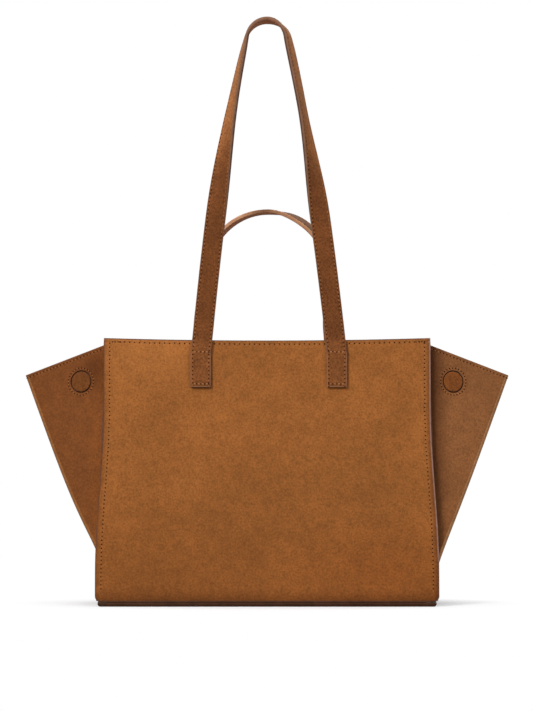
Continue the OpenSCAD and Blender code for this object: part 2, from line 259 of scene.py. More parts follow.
def blend_colours(tree, factor, low, high, from_min=0.3, from_max=0.7):
    """Goes from one colour to another as the factor rises."""
    ramp = put(tree, "ValToRGB", {"Fac": factor})
    ramp.color_ramp.elements[0].position = from_min
    ramp.color_ramp.elements[1].position = from_max
    ramp.color_ramp.elements[0].color = (*low, 1)
    ramp.color_ramp.elements[1].color = (*high, 1)
    return ramp.outputs["Color"]


def overlay(tree, base, layer, share):
    """Multiplies a colour by a layer, as far as the share says."""
    mix = put(tree, "Mix", {"Factor": share, "A": base, "B": layer},
              data_type="RGBA", blend_type="MULTIPLY")
    return mix.outputs["Result"]


def linear(red, green, blue):
    """The shader's own value for a colour given as it looks on a screen, from 0 to 255."""
    return tuple(((v / 255 + 0.055) / 1.055) ** 2.4 if v > 10 else v / 255 / 12.92
                 for v in (red, green, blue))


def tinted(colour, share):
    return tuple(min(1.0, v * share) for v in colour)


# %% Helpers for shaders
def start_material(name, inputs):
    """A material, its node tree, and its shader with some of its inputs set."""
    material = bpy.data.materials.new(name)
    material.use_nodes = True
    shader = material.node_tree.nodes["Principled BSDF"]
    for key, value in inputs.items():
        shader.inputs[key].default_value = value
    return material, material.node_tree, shader


def add_bump(tree, shader, height, strength, distance):
    bump = put(tree, "Bump", {"Height": height, "Strength": strength, "Distance": distance})
    tree.links.new(bump.outputs["Normal"], shader.inputs["Normal"])


# %% [markdown]
# A shade makes a leather darker or lighter in one place. Most shades here are painted light and
# shade, standing in for how the lamps light the bag. A shade is a pair: a function that adds
# nodes to a tree and returns a value from 0 to 1, and the tint that the colour takes where that
# value is 1.
# %% Shades
def ramp_along(axis, low, high):
    """Gives a value that rises from 0 to 1 between two places along an Object axis."""
    def value(tree):
        place = put(tree, "TexCoord")
        split = put(tree, "SeparateXYZ", {"Vector": place.outputs["Object"]})
        rise = put(tree, "MapRange", {"Value": split.outputs[axis], "From Min": low,
                                      "From Max": high}, interpolation_type="SMOOTHSTEP")
        return rise.outputs["Result"]
    return value


def soft_patch(x, z, reach_x, reach_z):
    """Gives a value that is 1 at a place in the front view and fades to 0 at its reach."""
    def value(tree):
        place = put(tree, "TexCoord")
        mapping = put(tree, "Mapping", {"Vector": place.outputs["Object"],
                                        "Location": (-x / reach_x, 0, -z / reach_z),
                                        "Scale": (1 / reach_x, 0, 1 / reach_z)})
        fade = put(tree, "TexGradient", {"Vector": mapping.outputs["Vector"]},
                   gradient_type="SPHERICAL")
        return fade.outputs["Fac"]
    return value


def painted_tone(tree):
    """The value that a mesh holds in its attribute "tone"."""
    return put(tree, "Attribute", attribute_name="tone").outputs["Fac"]


def shaded(tree, base, shades):
    """Lays shades over a colour."""
    for value, tint in shades:
        tone = blend_colours(tree, value(tree), (1, 1, 1), tint, 0, 1)
        base = overlay(tree, base, tone, 1.0)
    return base


# %% Nubuck
CLOUDS = 0.14
NUBUCK = {"Roughness": 0.88, "Specular IOR Level": 0.12, "Sheen Weight": 0.12,
          "Sheen Roughness": 0.5, "Sheen Tint": (1.0, 0.72, 0.5, 1)}


def nubuck(name, colour, seed=0.0, grain=0.3, shades=()):
    """Sanded leather: clouds, patches and grain over one colour, a fine bump, a soft sheen."""
    material, tree, shader = start_material(name, NUBUCK)
    colour = linear(*colour)
    base = blend_colours(tree, noise(tree, 11, 3, seed=seed),
                         tinted(colour, 1 - CLOUDS), tinted(colour, 1 + CLOUDS))
    patches = blend_colours(tree, noise(tree, 95, 3, 0.6, seed=seed + 3),
                            (1 - grain,) * 3, (1, 1, 1), 0.28, 0.62)
    fine = noise(tree, 520, 4, 0.7, seed=seed + 7)
    specks = blend_colours(tree, fine, (1 - 1.4 * grain,) * 3, (1, 1, 1), 0.34, 0.6)
    base = overlay(tree, base, patches, 0.6)
    base = overlay(tree, base, specks, 0.9)
    tree.links.new(shaded(tree, base, shades), shader.inputs["Base Color"])
    add_bump(tree, shader, fine, 0.35, 0.25 * MM)
    return material


# %% [markdown]
# The walls are darker towards the foot, a painted shade, and paler at the top left, a painted
# light. The right gusset is painted paler than the left, as painted light, and dark along its
# seam, as a painted shadow; the left one has a painted shadow between its button and the wall,
# and painted light along its seam. On the straps, painted light makes the dark leather pale where
# they turn on edge, and a little on the sewn ends. An attribute "tone" of the wall and strap
# meshes holds how near the edge, or how far turned, a place is.
# %% The leathers
# Painted shade towards the foot of the walls and at their very foot; below, painted light at
# their top left and painted light and shadow on the gussets.
painted_foot_shade, at_foot = ramp_along("Z", 0.15, 0.0), ramp_along("Z", 0.02, 0.003)
painted_left_seam_light, painted_right_seam_shadow = ramp_along("X", -0.186, -0.166), ramp_along("X", 0.186, 0.162)
painted_crown_light = ramp_along("Z", 0.568, 0.584)
painted_top_left_light = soft_patch(-0.118, 0.258, 0.07, 0.045)
low_right = soft_patch(0.12, 0.035, 0.11, 0.06)
painted_left_shadow = soft_patch(-0.171, 0.237, 0.024, 0.034)

nubuck_wall = nubuck("nubuck_wall", (161, 98, 46),
                     shades=[(painted_foot_shade, (0.86, 0.82, 0.78)), (at_foot, (0.62, 0.58, 0.54)),
                             (painted_top_left_light, (1.2, 1.24, 1.32)),
                             (low_right, (0.92, 0.86, 0.8)), (painted_tone, (0.66, 0.62, 0.66))])
# The right gusset is painted paler than the left: painted light. Along its seam lies a painted
# shadow of the wall's edge; the left one has a painted shadow between button and wall and painted
# light along its seam.
nubuck_gusset = {
    "left": nubuck("nubuck_gusset_left", (126, 72, 33), 1.3,
                   shades=[(painted_left_shadow, (0.5, 0.46, 0.42)), (painted_left_seam_light, (1.22, 1.2, 1.1))]),
    "right": nubuck("nubuck_gusset_right", (151, 96, 55), 6.1,
                    shades=[(painted_right_seam_shadow, (0.36, 0.3, 0.26))]),
}
# The two discs are one leather; the right one is painted paler, as painted light, because it gets
# less lamp light.
nubuck_disc = {
    "left": nubuck("nubuck_disc_left", (114, 65, 27), 5.2, 0.36),
    "right": nubuck("nubuck_disc_right", (141, 80, 35), 5.9, 0.36),
}
# The strap and its backing read the "tone" attribute as painted light: paler where they turn on
# edge, and the backing at the crown.
nubuck_strap = nubuck("nubuck_strap", (125, 72, 35), 2.1, 0.42,
                      shades=[(painted_tone, (2.6, 2.95, 3.3))])
nubuck_handle = nubuck("nubuck_handle", (112, 66, 36), 2.7, 0.42)
nubuck_backing = nubuck("nubuck_backing", (138, 84, 52), 3.3,
                        shades=[(painted_tone, (2.1, 2.1, 2.2))])
# Paler leather along the creases: a painted highlight where the fold turns away from the lamps.
nubuck_crease = {
    "left": nubuck("nubuck_crease_left", (158, 102, 56), 1.3),
    "right": nubuck("nubuck_crease_right", (192, 136, 90), 6.1),
}
nubuck_facing = nubuck("nubuck_facing", (128, 80, 44), 4.2)
print("Leathers:", sum(m.name.startswith("nubuck") for m in bpy.data.materials))

# %% [markdown]
# The cut edges of the leather are painted. The paint is a little smoother and duller than the
# nap and has a lilac tone. The lining is a fine twill, whose ribs are a wave pattern. Boards,
# thread and the magnets get finishes of their own, although little of them is seen.
# %% Edge paint, thread and boards
def plain_finish(name, low, high, roughness=0.6, scale=160, bump=0.1, metallic=0.0, gloss=0.1,
                 shades=()):
    """A colour that wanders between two tones, with a fine bump."""
    material, tree, shader = start_material(
        name, {"Roughness": roughness, "Metallic": metallic, "Specular IOR Level": gloss})
    base = blend_colours(tree, noise(tree, scale, 3), linear(*low), linear(*high))
    tree.links.new(shaded(tree, base, shades), shader.inputs["Base Color"])
    add_bump(tree, shader, noise(tree, scale * 3, 2), bump, 0.1 * MM)
    return material


edge_paint = plain_finish("edge_paint", (88, 56, 38), (112, 74, 54))
edge_paint_pale = plain_finish("edge_paint_pale", (134, 98, 84), (150, 114, 102), 0.65)
# The darkest paint is painted shade, on the washers in the open rings round the buttons.
ring_shade_paint = plain_finish("ring_shade_paint", (52, 29, 14), (68, 39, 22))
# Dark paint of the base; it is also painted shade near the floor, on the base rim and the foot of
# the wall beads.
edge_paint_with_foot_shade = plain_finish("edge_paint_with_foot_shade", (66, 40, 24), (84, 53, 34))
# Near the crown, both cut edges of the shoulder strap are made lighter: painted light.
edge_paint_strap = plain_finish("edge_paint_strap", (110, 78, 59), (128, 93, 72), 0.55,
                                shades=[(painted_crown_light, (1.25, 1.3, 1.35))])
edge_paint_inner = plain_finish("edge_paint_inner", (72, 48, 36), (92, 63, 48), 0.55,
                                shades=[(painted_crown_light, (2.4, 2.3, 2.2))])
# Pale paint for the rims of the sewn strap ends: a painted highlight where the edge catches the
# light.
edge_painted_highlight = plain_finish("edge_painted_highlight", (146, 102, 74), (166, 120, 92), 0.65)
edge_paint_warm = plain_finish("edge_paint_warm", (168, 116, 80), (188, 136, 98), 0.45,
                               gloss=0.35)
thread_tan = plain_finish("thread_tan", (148, 94, 54), (172, 116, 72), 0.7, 900, bump=0.3)
thread_pale = plain_finish("thread_pale", (176, 122, 82), (200, 150, 108), 0.7, 900, bump=0.3)
# Nearly black: painted shade in the stitch holes.
stitch_hole_shade = plain_finish("stitch_hole_shade", (50, 22, 8), (78, 38, 16), 0.9, 900, gloss=0.0)
board_grey = plain_finish("board_grey", (116, 106, 94), (134, 124, 112), 0.9, 300)
magnet_steel = plain_finish("magnet_steel", (173.4, 173.4, 175.2), (197.3, 197.3, 198.8), 0.35,
                            240, metallic=1.0)


# %% Lining twill
def twill(name, colour):
    """Cotton twill: slanting ribs under a millimetre apart, with a slubby tone over them."""
    material, tree, shader = start_material(name, {"Roughness": 0.9, "Specular IOR Level": 0.2})
    place = put(tree, "TexCoord")
    ribs = put(tree, "TexWave", {"Vector": place.outputs["Object"], "Scale": 420,
                                 "Distortion": 0.6}, bands_direction="DIAGONAL")
    tone = blend_colours(tree, noise(tree, 60, 3), tinted(colour, 0.9), tinted(colour, 1.08))
    rib_tone = blend_colours(tree, ribs.outputs["Fac"], (0.78, 0.78, 0.78), (1, 1, 1), 0.1, 0.8)
    tree.links.new(overlay(tree, tone, rib_tone, 1.0), shader.inputs["Base Color"])
    add_bump(tree, shader, ribs.outputs["Fac"], 0.4, 0.15 * MM)
    return material


lining_twill = twill("lining_twill", linear(178, 140, 100))
print("Finishes:", len(bpy.data.materials))

# %% [markdown]
# ## The bag's own measures
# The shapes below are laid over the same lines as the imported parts, so the same measures are
# needed again. A wall leans in by a few degrees, and its width flares towards the foot.
# %% Measures of a wall
BASE_D, MOUTH_D, WALL_H = 120 * MM, 72 * MM, 263.5 * MM
WALL_TOP_W, WALL_FOOT_W = 326 * MM, 342 * MM
TOP_SAG, CORNER_R = 2.5 * MM, 5.5 * MM
FLARE_FROM, FLARE_SPAN = 0.1, 0.65
BASE_T, FOOT_GAP = 4.2 * MM, 0.8 * MM
LEATHER_T, SLIP, GUSSET_T = 1.8 * MM, 0.15 * MM, 1.4 * MM
FLANGE_N = LEATHER_T + SLIP
NOTCH_N = FLANGE_N + GUSSET_T
STACK_N = NOTCH_N + SLIP + 1.2 * MM
FOOT_Z = BASE_T + FOOT_GAP
LEAN = math.asin((BASE_D - MOUTH_D) / 2 / WALL_H)


def half_width(h):
    """Half the width of a wall at height h along the leather."""
    flare = (1 + math.cos(math.pi * clamp((h / WALL_H - FLARE_FROM) / FLARE_SPAN))) / 2
    return (WALL_TOP_W + (WALL_FOOT_W - WALL_TOP_W) * flare) / 2


def on_wall(x, n, h, side="front"):
    """A point of a wall: across the bag, depth in from its outer face, height up the wall."""
    y = -BASE_D / 2 + n * math.cos(LEAN) + h * math.sin(LEAN)
    return Vector((x, y * SIDES[side], FOOT_Z + h * math.cos(LEAN) - n * math.sin(LEAN)))


def height_on_wall(place):
    """How high up the leather of a wall a place in the bag lies."""
    return (place.z - FOOT_Z) / math.cos(LEAN)


def wall_normal(side):
    """The way the outer face of a wall looks."""
    return Vector((0, -math.cos(LEAN) * SIDES[side], math.sin(LEAN)))


print("A wall leans", round(math.degrees(LEAN), 2), "degrees")


# %% [markdown]
# ## Laying a grid over a surface
# Most pieces here are sheets that follow a known surface. Each starts as a flat grid primitive.
# Its points are then laid on the surface, column by column and row by row. Columns and rows
# stand closer together where an edge is rounded or a stitch line is pressed in.
# %% Helpers for sheets
SAME_PLACE = 0.002 * MM


def lay_grid(name, across, up, place):
    """Adds a grid and lays its points on place(a, b), for a of across and b of up."""
    deselect()
    bpy.ops.mesh.primitive_grid_add(x_subdivisions=len(across) - 1,
                                    y_subdivisions=len(up) - 1, size=2)
    sheet = bpy.context.object
    sheet.name = sheet.data.name = name
    for vertex in sheet.data.vertices:
        column = round((vertex.co.x + 1) / 2 * (len(across) - 1))
        row = round((vertex.co.y + 1) / 2 * (len(up) - 1))
        vertex.co = place(across[column], up[row])
    return sheet


def pick(*pieces):
    """Selects pieces and nothing else. The last one is the active one."""
    deselect()
    for piece in pieces:
        piece.select_set(True)
    bpy.context.view_layer.objects.active = pieces[-1]


def edit(piece):
    pick(piece)
    bpy.ops.object.mode_set(mode="EDIT")
    bpy.ops.mesh.select_mode(type="VERT")
    bpy.ops.mesh.select_all(action="SELECT")


def close_up(piece, holes=True):
    """Merges points that meet, fills open ends and turns every face outwards."""
    edit(piece)
    bpy.ops.mesh.remove_doubles(threshold=SAME_PLACE)
    if holes:
        bpy.ops.mesh.select_all(action="DESELECT")
        bpy.ops.mesh.select_non_manifold(extend=False, use_wire=False, use_multi_face=False,
                                         use_non_contiguous=False, use_verts=False)
        bpy.ops.mesh.fill(use_beauty=False)
    bpy.ops.mesh.select_all(action="SELECT")
    bpy.ops.mesh.normals_make_consistent(inside=False)
    bpy.ops.object.mode_set(mode="OBJECT")


def smooth(piece, angle=38):
    pick(piece)
    bpy.ops.object.shade_smooth_by_angle(angle=math.radians(angle))


def apply(piece, kind, **settings):
    """Adds a modifier and applies it at once."""
    pick(piece)
    modifier = piece.modifiers.new("shape", kind)
    for key, value in settings.items():
        setattr(modifier, key, value)
    bpy.ops.object.modifier_apply(modifier="shape")


def paint(piece, *finishes):
    """Gives a piece its materials, in the order of their indices."""
    for finish in finishes:
        piece.data.materials.append(finish)


def spread(low, high, count, ease=1.0):
    """Numbers from low to high, crowded near low where ease is above 1."""
    return [low + (high - low) * (i / (count - 1)) ** ease for i in range(count)]


# %% [markdown]
# A row of stitches presses a shallow groove into the leather, and the leather rolls back a
# little where it was cut. Both are depths behind the face, over the distance from a line.
# %% Depth of the rolled edge and the stitch groove
GROOVE_W, GROOVE_D = 1.5 * MM, 0.22 * MM


def roll(distance, radius=1.6 * MM, depth=0.5 * MM):
    """How far the face lies back at a distance from a cut edge."""
    share = max(0.0, 1 - distance / radius)
    return depth * share * share


def groove(distance):
    """How deep the thread has pulled the face in at a distance from a stitch line."""
    return GROOVE_D * (1 + math.cos(math.pi * clamp(abs(distance) / GROOVE_W))) / 2


# %% [markdown]
# ## The front and back wall leathers
# On the real bag each wall is one flat panel of nubuck over a board. It is sewn along the top
# and down both sides, and its foot corners are rounded. A grid is laid over the panel, given
# its thickness by Solidify, and its back is pressed flat so that it meets the board.
# %% Shape of a wall leather
SIDE_LINE, TOP_LINE = 5.5 * MM, 3.4 * MM
SOLID_T = LEATHER_T - 0.3 * MM


def crest_h(a):
    """Height of the sagging top edge at a share a of the half width of a wall."""
    return WALL_H - TOP_SAG * (1 - a * a)


def wall_edges(a, h):
    """Half the width of a wall at height h, round the corners too, and the crest over it."""
    corner = max(0.0, CORNER_R - h)
    cut = CORNER_R - math.sqrt(max(0.0, CORNER_R ** 2 - corner ** 2))
    return half_width(h) - cut, crest_h(a)


def nap_wave(x, h):
    """The panel isn't quite flat: slow waves of a few tenths of a millimetre."""
    wave = math.sin(x * 17 + 0.6) * math.sin(h * 21 + 1.1) + 0.6 * math.sin(x * 41 + h * 33)
    return 0.16 * MM * wave


def turn_under(h):
    """How far the foot of the leather turns in towards the base."""
    return 0.55 * MM * max(0.0, 1 - h / (9 * MM)) ** 2


def leather_depth(a, h):
    """How far the leather lies behind the plane of the wall at a share a of its half width."""
    half, crest = wall_edges(a, h)
    from_side, from_top = half * (1 - abs(a)), crest - h
    rim = min(from_side, from_top, h)
    still = min(1.0, rim / (12 * MM))
    n = roll(rim) + (nap_wave(a * half, h) + 0.2 * MM) * still + turn_under(h)
    if from_top > TOP_LINE - GROOVE_W:
        n += groove(from_side - SIDE_LINE)
    return n + groove(from_top - TOP_LINE)


def wall_leather_point(side, a, b):
    """a runs from -1 to 1 across the wall, and b from 0 at the foot to 1 at the crest."""
    h = b * crest_h(a)
    return on_wall(a * wall_edges(a, h)[0], leather_depth(a, h), h, side)


# %% Steps across and up a wall
def shares(near, far, span, count):
    """Shares of a span: the listed distances near each end, and even steps between them."""
    low = [d / span for d in near]
    high = [1 - d / span for d in reversed(far)]
    middle = spread(low[-1], high[0], count)[1:-1]
    return low + middle + high


def in_mm(*distances):
    return [d * MM for d in distances]


RIM_STEPS = in_mm(0, 0.3, 0.7, 1.2, 1.9)
SIDE_STEPS = RIM_STEPS + in_mm(4.0, 4.7, 5.1, 5.5, 5.9, 6.3, 7.0)
TOP_STEPS = RIM_STEPS + in_mm(2.4, 2.8, 3.1, 3.4, 3.7, 4.1, 4.8)
FOOT_STEPS = in_mm(0, 0.25, 0.7, 1.3, 2.1, 3.1, 4.3, 5.5, 7, 9, 12)


# %% The two wall leathers
LAP_W, DARK_SIDE_W = 2 * MM, 3 * MM


def make_wall_leather(side):
    across = [2 * s - 1 for s in shares(SIDE_STEPS, SIDE_STEPS, WALL_TOP_W, 60)]
    up = shares(FOOT_STEPS, TOP_STEPS, WALL_H, 50)
    leather = lay_grid(f"{side}_wall_leather", across, up,
                       lambda a, b: wall_leather_point(side, a, b))
    close_up(leather, holes=False)
    outward = wall_normal(side)
    if sum(face.normal.dot(outward) for face in leather.data.polygons) < 0:
        edit(leather)
        bpy.ops.mesh.flip_normals()
        bpy.ops.object.mode_set(mode="OBJECT")
    apply(leather, "SOLIDIFY", thickness=SOLID_T, offset=-1)
    return leather


def press_back(leather, side):
    """Lays the inner face of a wall leather flat on the board behind it."""
    outward, foot = wall_normal(side), on_wall(0, 0, 0, side)
    for vertex in leather.data.vertices:
        depth = (foot - vertex.co).dot(outward)
        if depth > SOLID_T - 0.2 * MM:
            vertex.co -= outward * (LEATHER_T - depth)


def tone_sides(leather, side):
    """The leather is darker just inside its side edges; in front on the right, inside the lap."""
    tone = leather.data.attributes.new("tone", "FLOAT", "POINT")
    for vertex, value in zip(leather.data.vertices, tone.data):
        inside = half_width(height_on_wall(vertex.co)) - abs(vertex.co.x)
        start = LAP_W if side == "front" and vertex.co.x > 0 else 0.0
        value.value = clamp(1 - (inside - start) / DARK_SIDE_W)


for side in SIDES:
    leather = make_wall_leather(side)
    press_back(leather, side)
    tone_sides(leather, side)
    paint(leather, nubuck_wall, edge_paint)
    for face in leather.data.polygons:
        crest = crest_h(face.center.x / half_width(WALL_H))
        if height_on_wall(face.center) > crest - 0.75 * MM:
            face.material_index = 1
    smooth(leather)
    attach(leather, f"{side}_wall")
    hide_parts(f"{side}_panel")
    print(leather.name, len(leather.data.polygons), "faces")

# %% [markdown]
# ## Painted wall edges
# The layers of a wall are glued, cut together and painted along the cut. The paint makes one
# bead round the whole wall. It is deep at the crest, where facing and board are inside, and
# thinner down the sides, where the gusset is sewn in. The section of the bead is swept along
# the outline as a grid that closes on itself.
# %% Outline of a wall
def wall_loop():
    """Points round a wall, from the foot up the right side, over the crest and down again."""
    turns = [math.radians(angle - 90) for angle in range(0, 91, 15)]
    right = [(half_width(0) - CORNER_R + CORNER_R * math.cos(turn),
              CORNER_R + CORNER_R * math.sin(turn)) for turn in turns]
    right += [(half_width(h), h) for h in spread(CORNER_R, WALL_H, 46)[1:]]
    crest = [(a * half_width(WALL_H), crest_h(a)) for a in spread(1, -1, 40)[1:-1]]
    return right + crest + [(-x, h) for x, h in reversed(right)]


def outward_of(loop, i):
    """The unit vector out of the outline at point i, in the plane of the wall."""
    (x0, h0), (x1, h1) = loop[i - 1], loop[(i + 1) % len(loop)]
    return Vector((h1 - h0, -(x1 - x0))).normalized()


# %% [markdown]
# In the photograph the right edge of the front wall shows a pale band 2 mm wide, and the
# left edge only a thin dark line: the cut edge on the right turns to the front. There the bead
# laps over the face of the leather, and its paint is paler.
# %% Bead along the wall edges
LAP_FROM_H, LAP_RISE = 34 * MM, 14 * MM
BEAD_LOW, BEAD_ROOT = 0.28 * MM, 1.2 * MM
BEAD_OUT, BEAD_OUT_FOOT = 0.55 * MM, 0.35 * MM


def lap(side, x, h):
    """How far the bead laps over the face of the leather."""
    if side != "front" or x < 0:
        return 0.0
    return LAP_W * soften(clamp((h - LAP_FROM_H) / LAP_RISE))


def bead_point(side, loop, i, turn):
    """A point of the bead: i along the outline, turn from 0 at the face to 1 at the inside.

    A turn below 0 is its root under the face, and one above 1 its root at the inside."""
    x, h = loop[i]
    out = outward_of(loop, i)
    at_crest = clamp((h - (WALL_H - TOP_SAG - 1 * MM)) / (1 * MM))
    at_foot = clamp((4 * MM - h) / (2 * MM))
    deep = NOTCH_N + (STACK_N - NOTCH_N) * at_crest
    deep += (LEATHER_T - deep) * at_foot
    over = lap(side, x, h) * max(0.0, out.x) ** 4
    low = BEAD_LOW - 0.1 * over
    if turn > 1:
        push, n = -BEAD_ROOT, deep
    elif turn < 0:
        push, n = -BEAD_ROOT - over, low + 0.3 * MM
    else:
        bulge = BEAD_OUT if at_foot < 0.5 else BEAD_OUT_FOOT
        push = bulge * math.sin(math.pi * turn) ** 0.6 - over * max(0.0, 1 - 4 * turn)
        n = low + (deep - low) * (turn if over < 0.1 * MM else turn ** 2)
    return on_wall(x + push * out.x, n, h + push * out.y, side)


def make_wall_bead(side):
    loop = wall_loop()
    order = list(range(len(loop))) + [0]
    turns = [-1] + [i / 8 for i in range(9)] + [2, -1]
    bead = lay_grid(f"{side}_wall_edge", turns, order,
                    lambda turn, i: bead_point(side, loop, i, turn))
    close_up(bead, holes=False)
    return bead


def paint_lap(bead):
    """The faces of the lap look to the front on the right, and get the paler paint."""
    for face in bead.data.polygons:
        on_lap = face.center.x > 155 * MM and face.center.z > 45 * MM
        if on_lap and face.normal.y < -0.5:
            face.material_index = 2


for side in SIDES:
    bead = make_wall_bead(side)
    paint(bead, edge_paint, edge_paint_with_foot_shade, edge_paint_pale)
    # The foot of the bead takes the darker base paint, as painted shade near the floor.
    for face in bead.data.polygons:
        face.material_index = 1 if face.center.z < FOOT_Z + 2 * MM else 0
    if side == "front":
        paint_lap(bead)
    smooth(bead, 50)
    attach(bead, f"{side}_wall")
    print(bead.name, len(bead.data.polygons), "faces")


# %% [markdown]
# ## The gussets
# A gusset is the leather at the side of the bag. From its seam with the wall it spreads out as
# a flat wing, turns over a rounded crease and runs across the side. Rings run across it, all
# parallel to its top edge. Each ring has a straight wing, a round crease and a straight side.
# Just above the base the crease draws in, on the left more than on the right, as soft leather
# does where it is sewn round a corner.
# %% Rings of a gusset
SEAM_X, SEAM_DROP, SEAM_START = 157.5 * MM, 4.4 * MM, 1 * MM
WING_SPAN, TIP_Z, TIP_HALF = 487 * MM, 230 * MM, 4 * MM
WING_ROOT, FOLD_R = 3 * MM, 6 * MM
DRAW_IN = {"left": (8.5 * MM, 0.17), "right": (2.5 * MM, 0.2)}
SEAM_TOP_H = WALL_H - SEAM_DROP
SEAM_TOP = on_wall(-SEAM_X, NOTCH_N, SEAM_TOP_H)
SEAM_LOW = on_wall(-SEAM_X, NOTCH_N, SEAM_START)
TIP = Vector((-WING_SPAN / 2, -TIP_HALF, TIP_Z))
RAKE = (SEAM_TOP - TIP).normalized()
TILT = math.atan2(RAKE.z, RAKE.x)
RAKE_FLAT = Vector((math.hypot(RAKE.x, RAKE.z), RAKE.y))
FOLD_ANGLE = math.acos(RAKE_FLAT.y)
SEAM_LENGTH = (SEAM_TOP - SEAM_LOW).length


def seam(u):
    return SEAM_LOW.lerp(SEAM_TOP, u)


def ring_length(u, hand):
    """Length of the wing on ring u, which draws in a little just above the base."""
    most, peak = DRAW_IN[hand]
    v = max(0.0, u) / peak
    draw = most * (v * math.exp(1 - v)) ** 2
    return WING_ROOT + ((SEAM_TOP - TIP).length - WING_ROOT) * u - draw


def fold(u, hand):
    return seam(u) - ring_length(u, hand) * RAKE


def crease_radius(u, hand):
    half_turn = math.tan(FOLD_ANGLE / 2)
    most = min(0.95 * abs(fold(u, hand).y), 0.9 * ring_length(u, hand))
    return min(FOLD_R, most * half_turn)


def ring_spot(u, hand, t, wall_n, part, s):
    """A point of ring u at depth t: part 0 is the wing, 1 the crease, 2 the side."""
    edge, slope = fold(u, hand), math.sin(TILT) * math.tan(LEAN)
    start = Vector((0, edge.y)) + t * Vector((-RAKE_FLAT.y, RAKE_FLAT.x))
    wall_y = (-BASE_D / 2 + wall_n / math.cos(LEAN)
              + (edge.z + start.x * math.sin(TILT) - FOOT_Z) * math.tan(LEAN))
    reach = (wall_y - start.y) / (RAKE_FLAT.y - slope * RAKE_FLAT.x)
    corner = start + (t - start.x) / RAKE_FLAT.x * RAKE_FLAT
    r = max(0.3 * MM, crease_radius(u, hand) - t)
    middle = Vector((t + r, corner.y + r / math.tan(FOLD_ANGLE / 2)))
    from_turn, to_turn = 2 * math.pi - FOLD_ANGLE, math.pi
    if part == 0:
        bend = middle + r * Vector((math.cos(from_turn), math.sin(from_turn)))
        return (start + reach * RAKE_FLAT).lerp(bend, s)
    if part == 1:
        turn = from_turn + (to_turn - from_turn) * s
        return middle + r * Vector((math.cos(turn), math.sin(turn)))
    return Vector((t, middle.y)).lerp(Vector((t, 0)), s)


def gusset_point(hand, side, u, t, wall_n, part, s):
    """The same point in the bag, for the gusset of one hand and its front or back half."""
    spot = ring_spot(u, hand, t, wall_n, part, s)
    place = fold(u, hand) + Vector((spot.x * math.cos(TILT), 0, spot.x * math.sin(TILT)))
    return Vector((place.x * HANDS[hand], spot.y * SIDES[side], place.z))


# %% [markdown]
# The leather is made as one closed shell: the grid climbs the outer face, rolls over the cut
# edge at the top and goes down the inner face again. The front and back halves meet in the
# middle of the side. There the real leather has its fold line.
# %% Gusset leather
WING_COLUMNS = [(0, s) for s in (0, 0.02, 0.05, 0.1, 0.18, 0.3, 0.42, 0.54, 0.66, 0.78, 0.9,
                                 0.96, 0.985)]
FOLD_COLUMNS = [(1, i / 14) for i in range(14)]
SIDE_COLUMNS = [(2, s) for s in (0, 0.12, 0.3, 0.5, 0.7, 0.85, 0.94, 1)]
GUSSET_COLUMNS = WING_COLUMNS + FOLD_COLUMNS + SIDE_COLUMNS
TOP_EDGE_STEPS = in_mm(12, 9, 7, 5.2, 4.2, 3.7, 3.3, 2.9, 2.5, 2.0, 1.3, 0.8, 0.4, 0.15)
GUSSET_LINE, CREASE_COLUMNS = 3.2 * MM, 11


def below_top(distance):
    """The ring that crosses the seam at a distance below its top."""
    return 1 - distance / SEAM_LENGTH


def climb(top, count):
    """Rings from the base up to the ring top, crowded where the crease draws in."""
    return spread(0, top, count, 1.35)


def gusset_rows():
    """Steps up the outer face, over the cut edge and down the inner face, as (u, depth)."""
    outer = []
    for u in climb(below_top(16 * MM), 30) + [below_top(d) for d in TOP_EDGE_STEPS]:
        below = (1 - u) * SEAM_LENGTH
        outer.append((u, groove(below - GUSSET_LINE) + roll(below, 0.9 * MM, 0.35 * MM)))
    rim = [(below_top(-0.1 * MM), depth) for depth in in_mm(0.55, 0.9)]
    inner = [(u, GUSSET_T) for u in reversed(climb(below_top(0.3 * MM), 22))]
    return outer + rim + inner + [outer[0]]


def paint_rim(piece):
    """Paints the cut edge of a gusset, whose faces look up along the seam, and counts them."""
    up = (SEAM_TOP - SEAM_LOW).normalized()
    marked = 0
    for face in piece.data.polygons:
        if face.center.z > 200 * MM and min(face.normal.z, abs(face.normal.dot(up))) > 0.55:
            face.material_index = 1
            marked += 1
    return marked


def mark_crease(piece):
    """Paints a highlight along the crease, where the wing turns to the side."""
    first, columns, rows = len(WING_COLUMNS) + 2, len(GUSSET_COLUMNS) - 1, 40
    for index, face in enumerate(piece.data.polygons[:columns * rows]):
        if first <= index % columns < first + CREASE_COLUMNS:
            face.material_index = 2


def make_gusset(hand, side):
    name = f"{hand}_{side}_gusset_leather"
    leather = lay_grid(name, GUSSET_COLUMNS, gusset_rows(),
                       lambda a, b: gusset_point(hand, side, b[0], b[1], NOTCH_N, *a))
    close_up(leather)
    return leather


def follow_mouth(piece):
    """Bakes the place of a piece into its mesh."""
    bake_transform(piece)


gusset_leathers = {}
for hand, side in QUARTERS:
    leather = make_gusset(hand, side)
    paint(leather, nubuck_gusset[hand], edge_paint, nubuck_crease[hand])
    mark_crease(leather)
    gusset_leathers[hand, side] = leather
    print(leather.name, len(leather.data.polygons), "faces,", paint_rim(leather),
          "of them painted")


# %% [markdown]
# Where the gusset meets the wall, its edge lies flat between the wall leather and the board.
# This sewn strip is a thin sheet of its own. It closes the gap that would show from the side.
# %% Sewn strips of the gussets
def sewn_strip_point(hand, side, across, up):
    """across goes round the section of the strip, from its inner end out and back."""
    h = SEAM_START + (SEAM_TOP_H - SEAM_START) * up
    inner, outer = SEAM_X - 6 * MM, half_width(h) - 0.6 * MM
    x = inner if across in (0, 1, 4) else outer
    n = FLANGE_N if across in (0, 3, 4) else NOTCH_N
    return on_wall(-x * HANDS[hand], n, h, side)


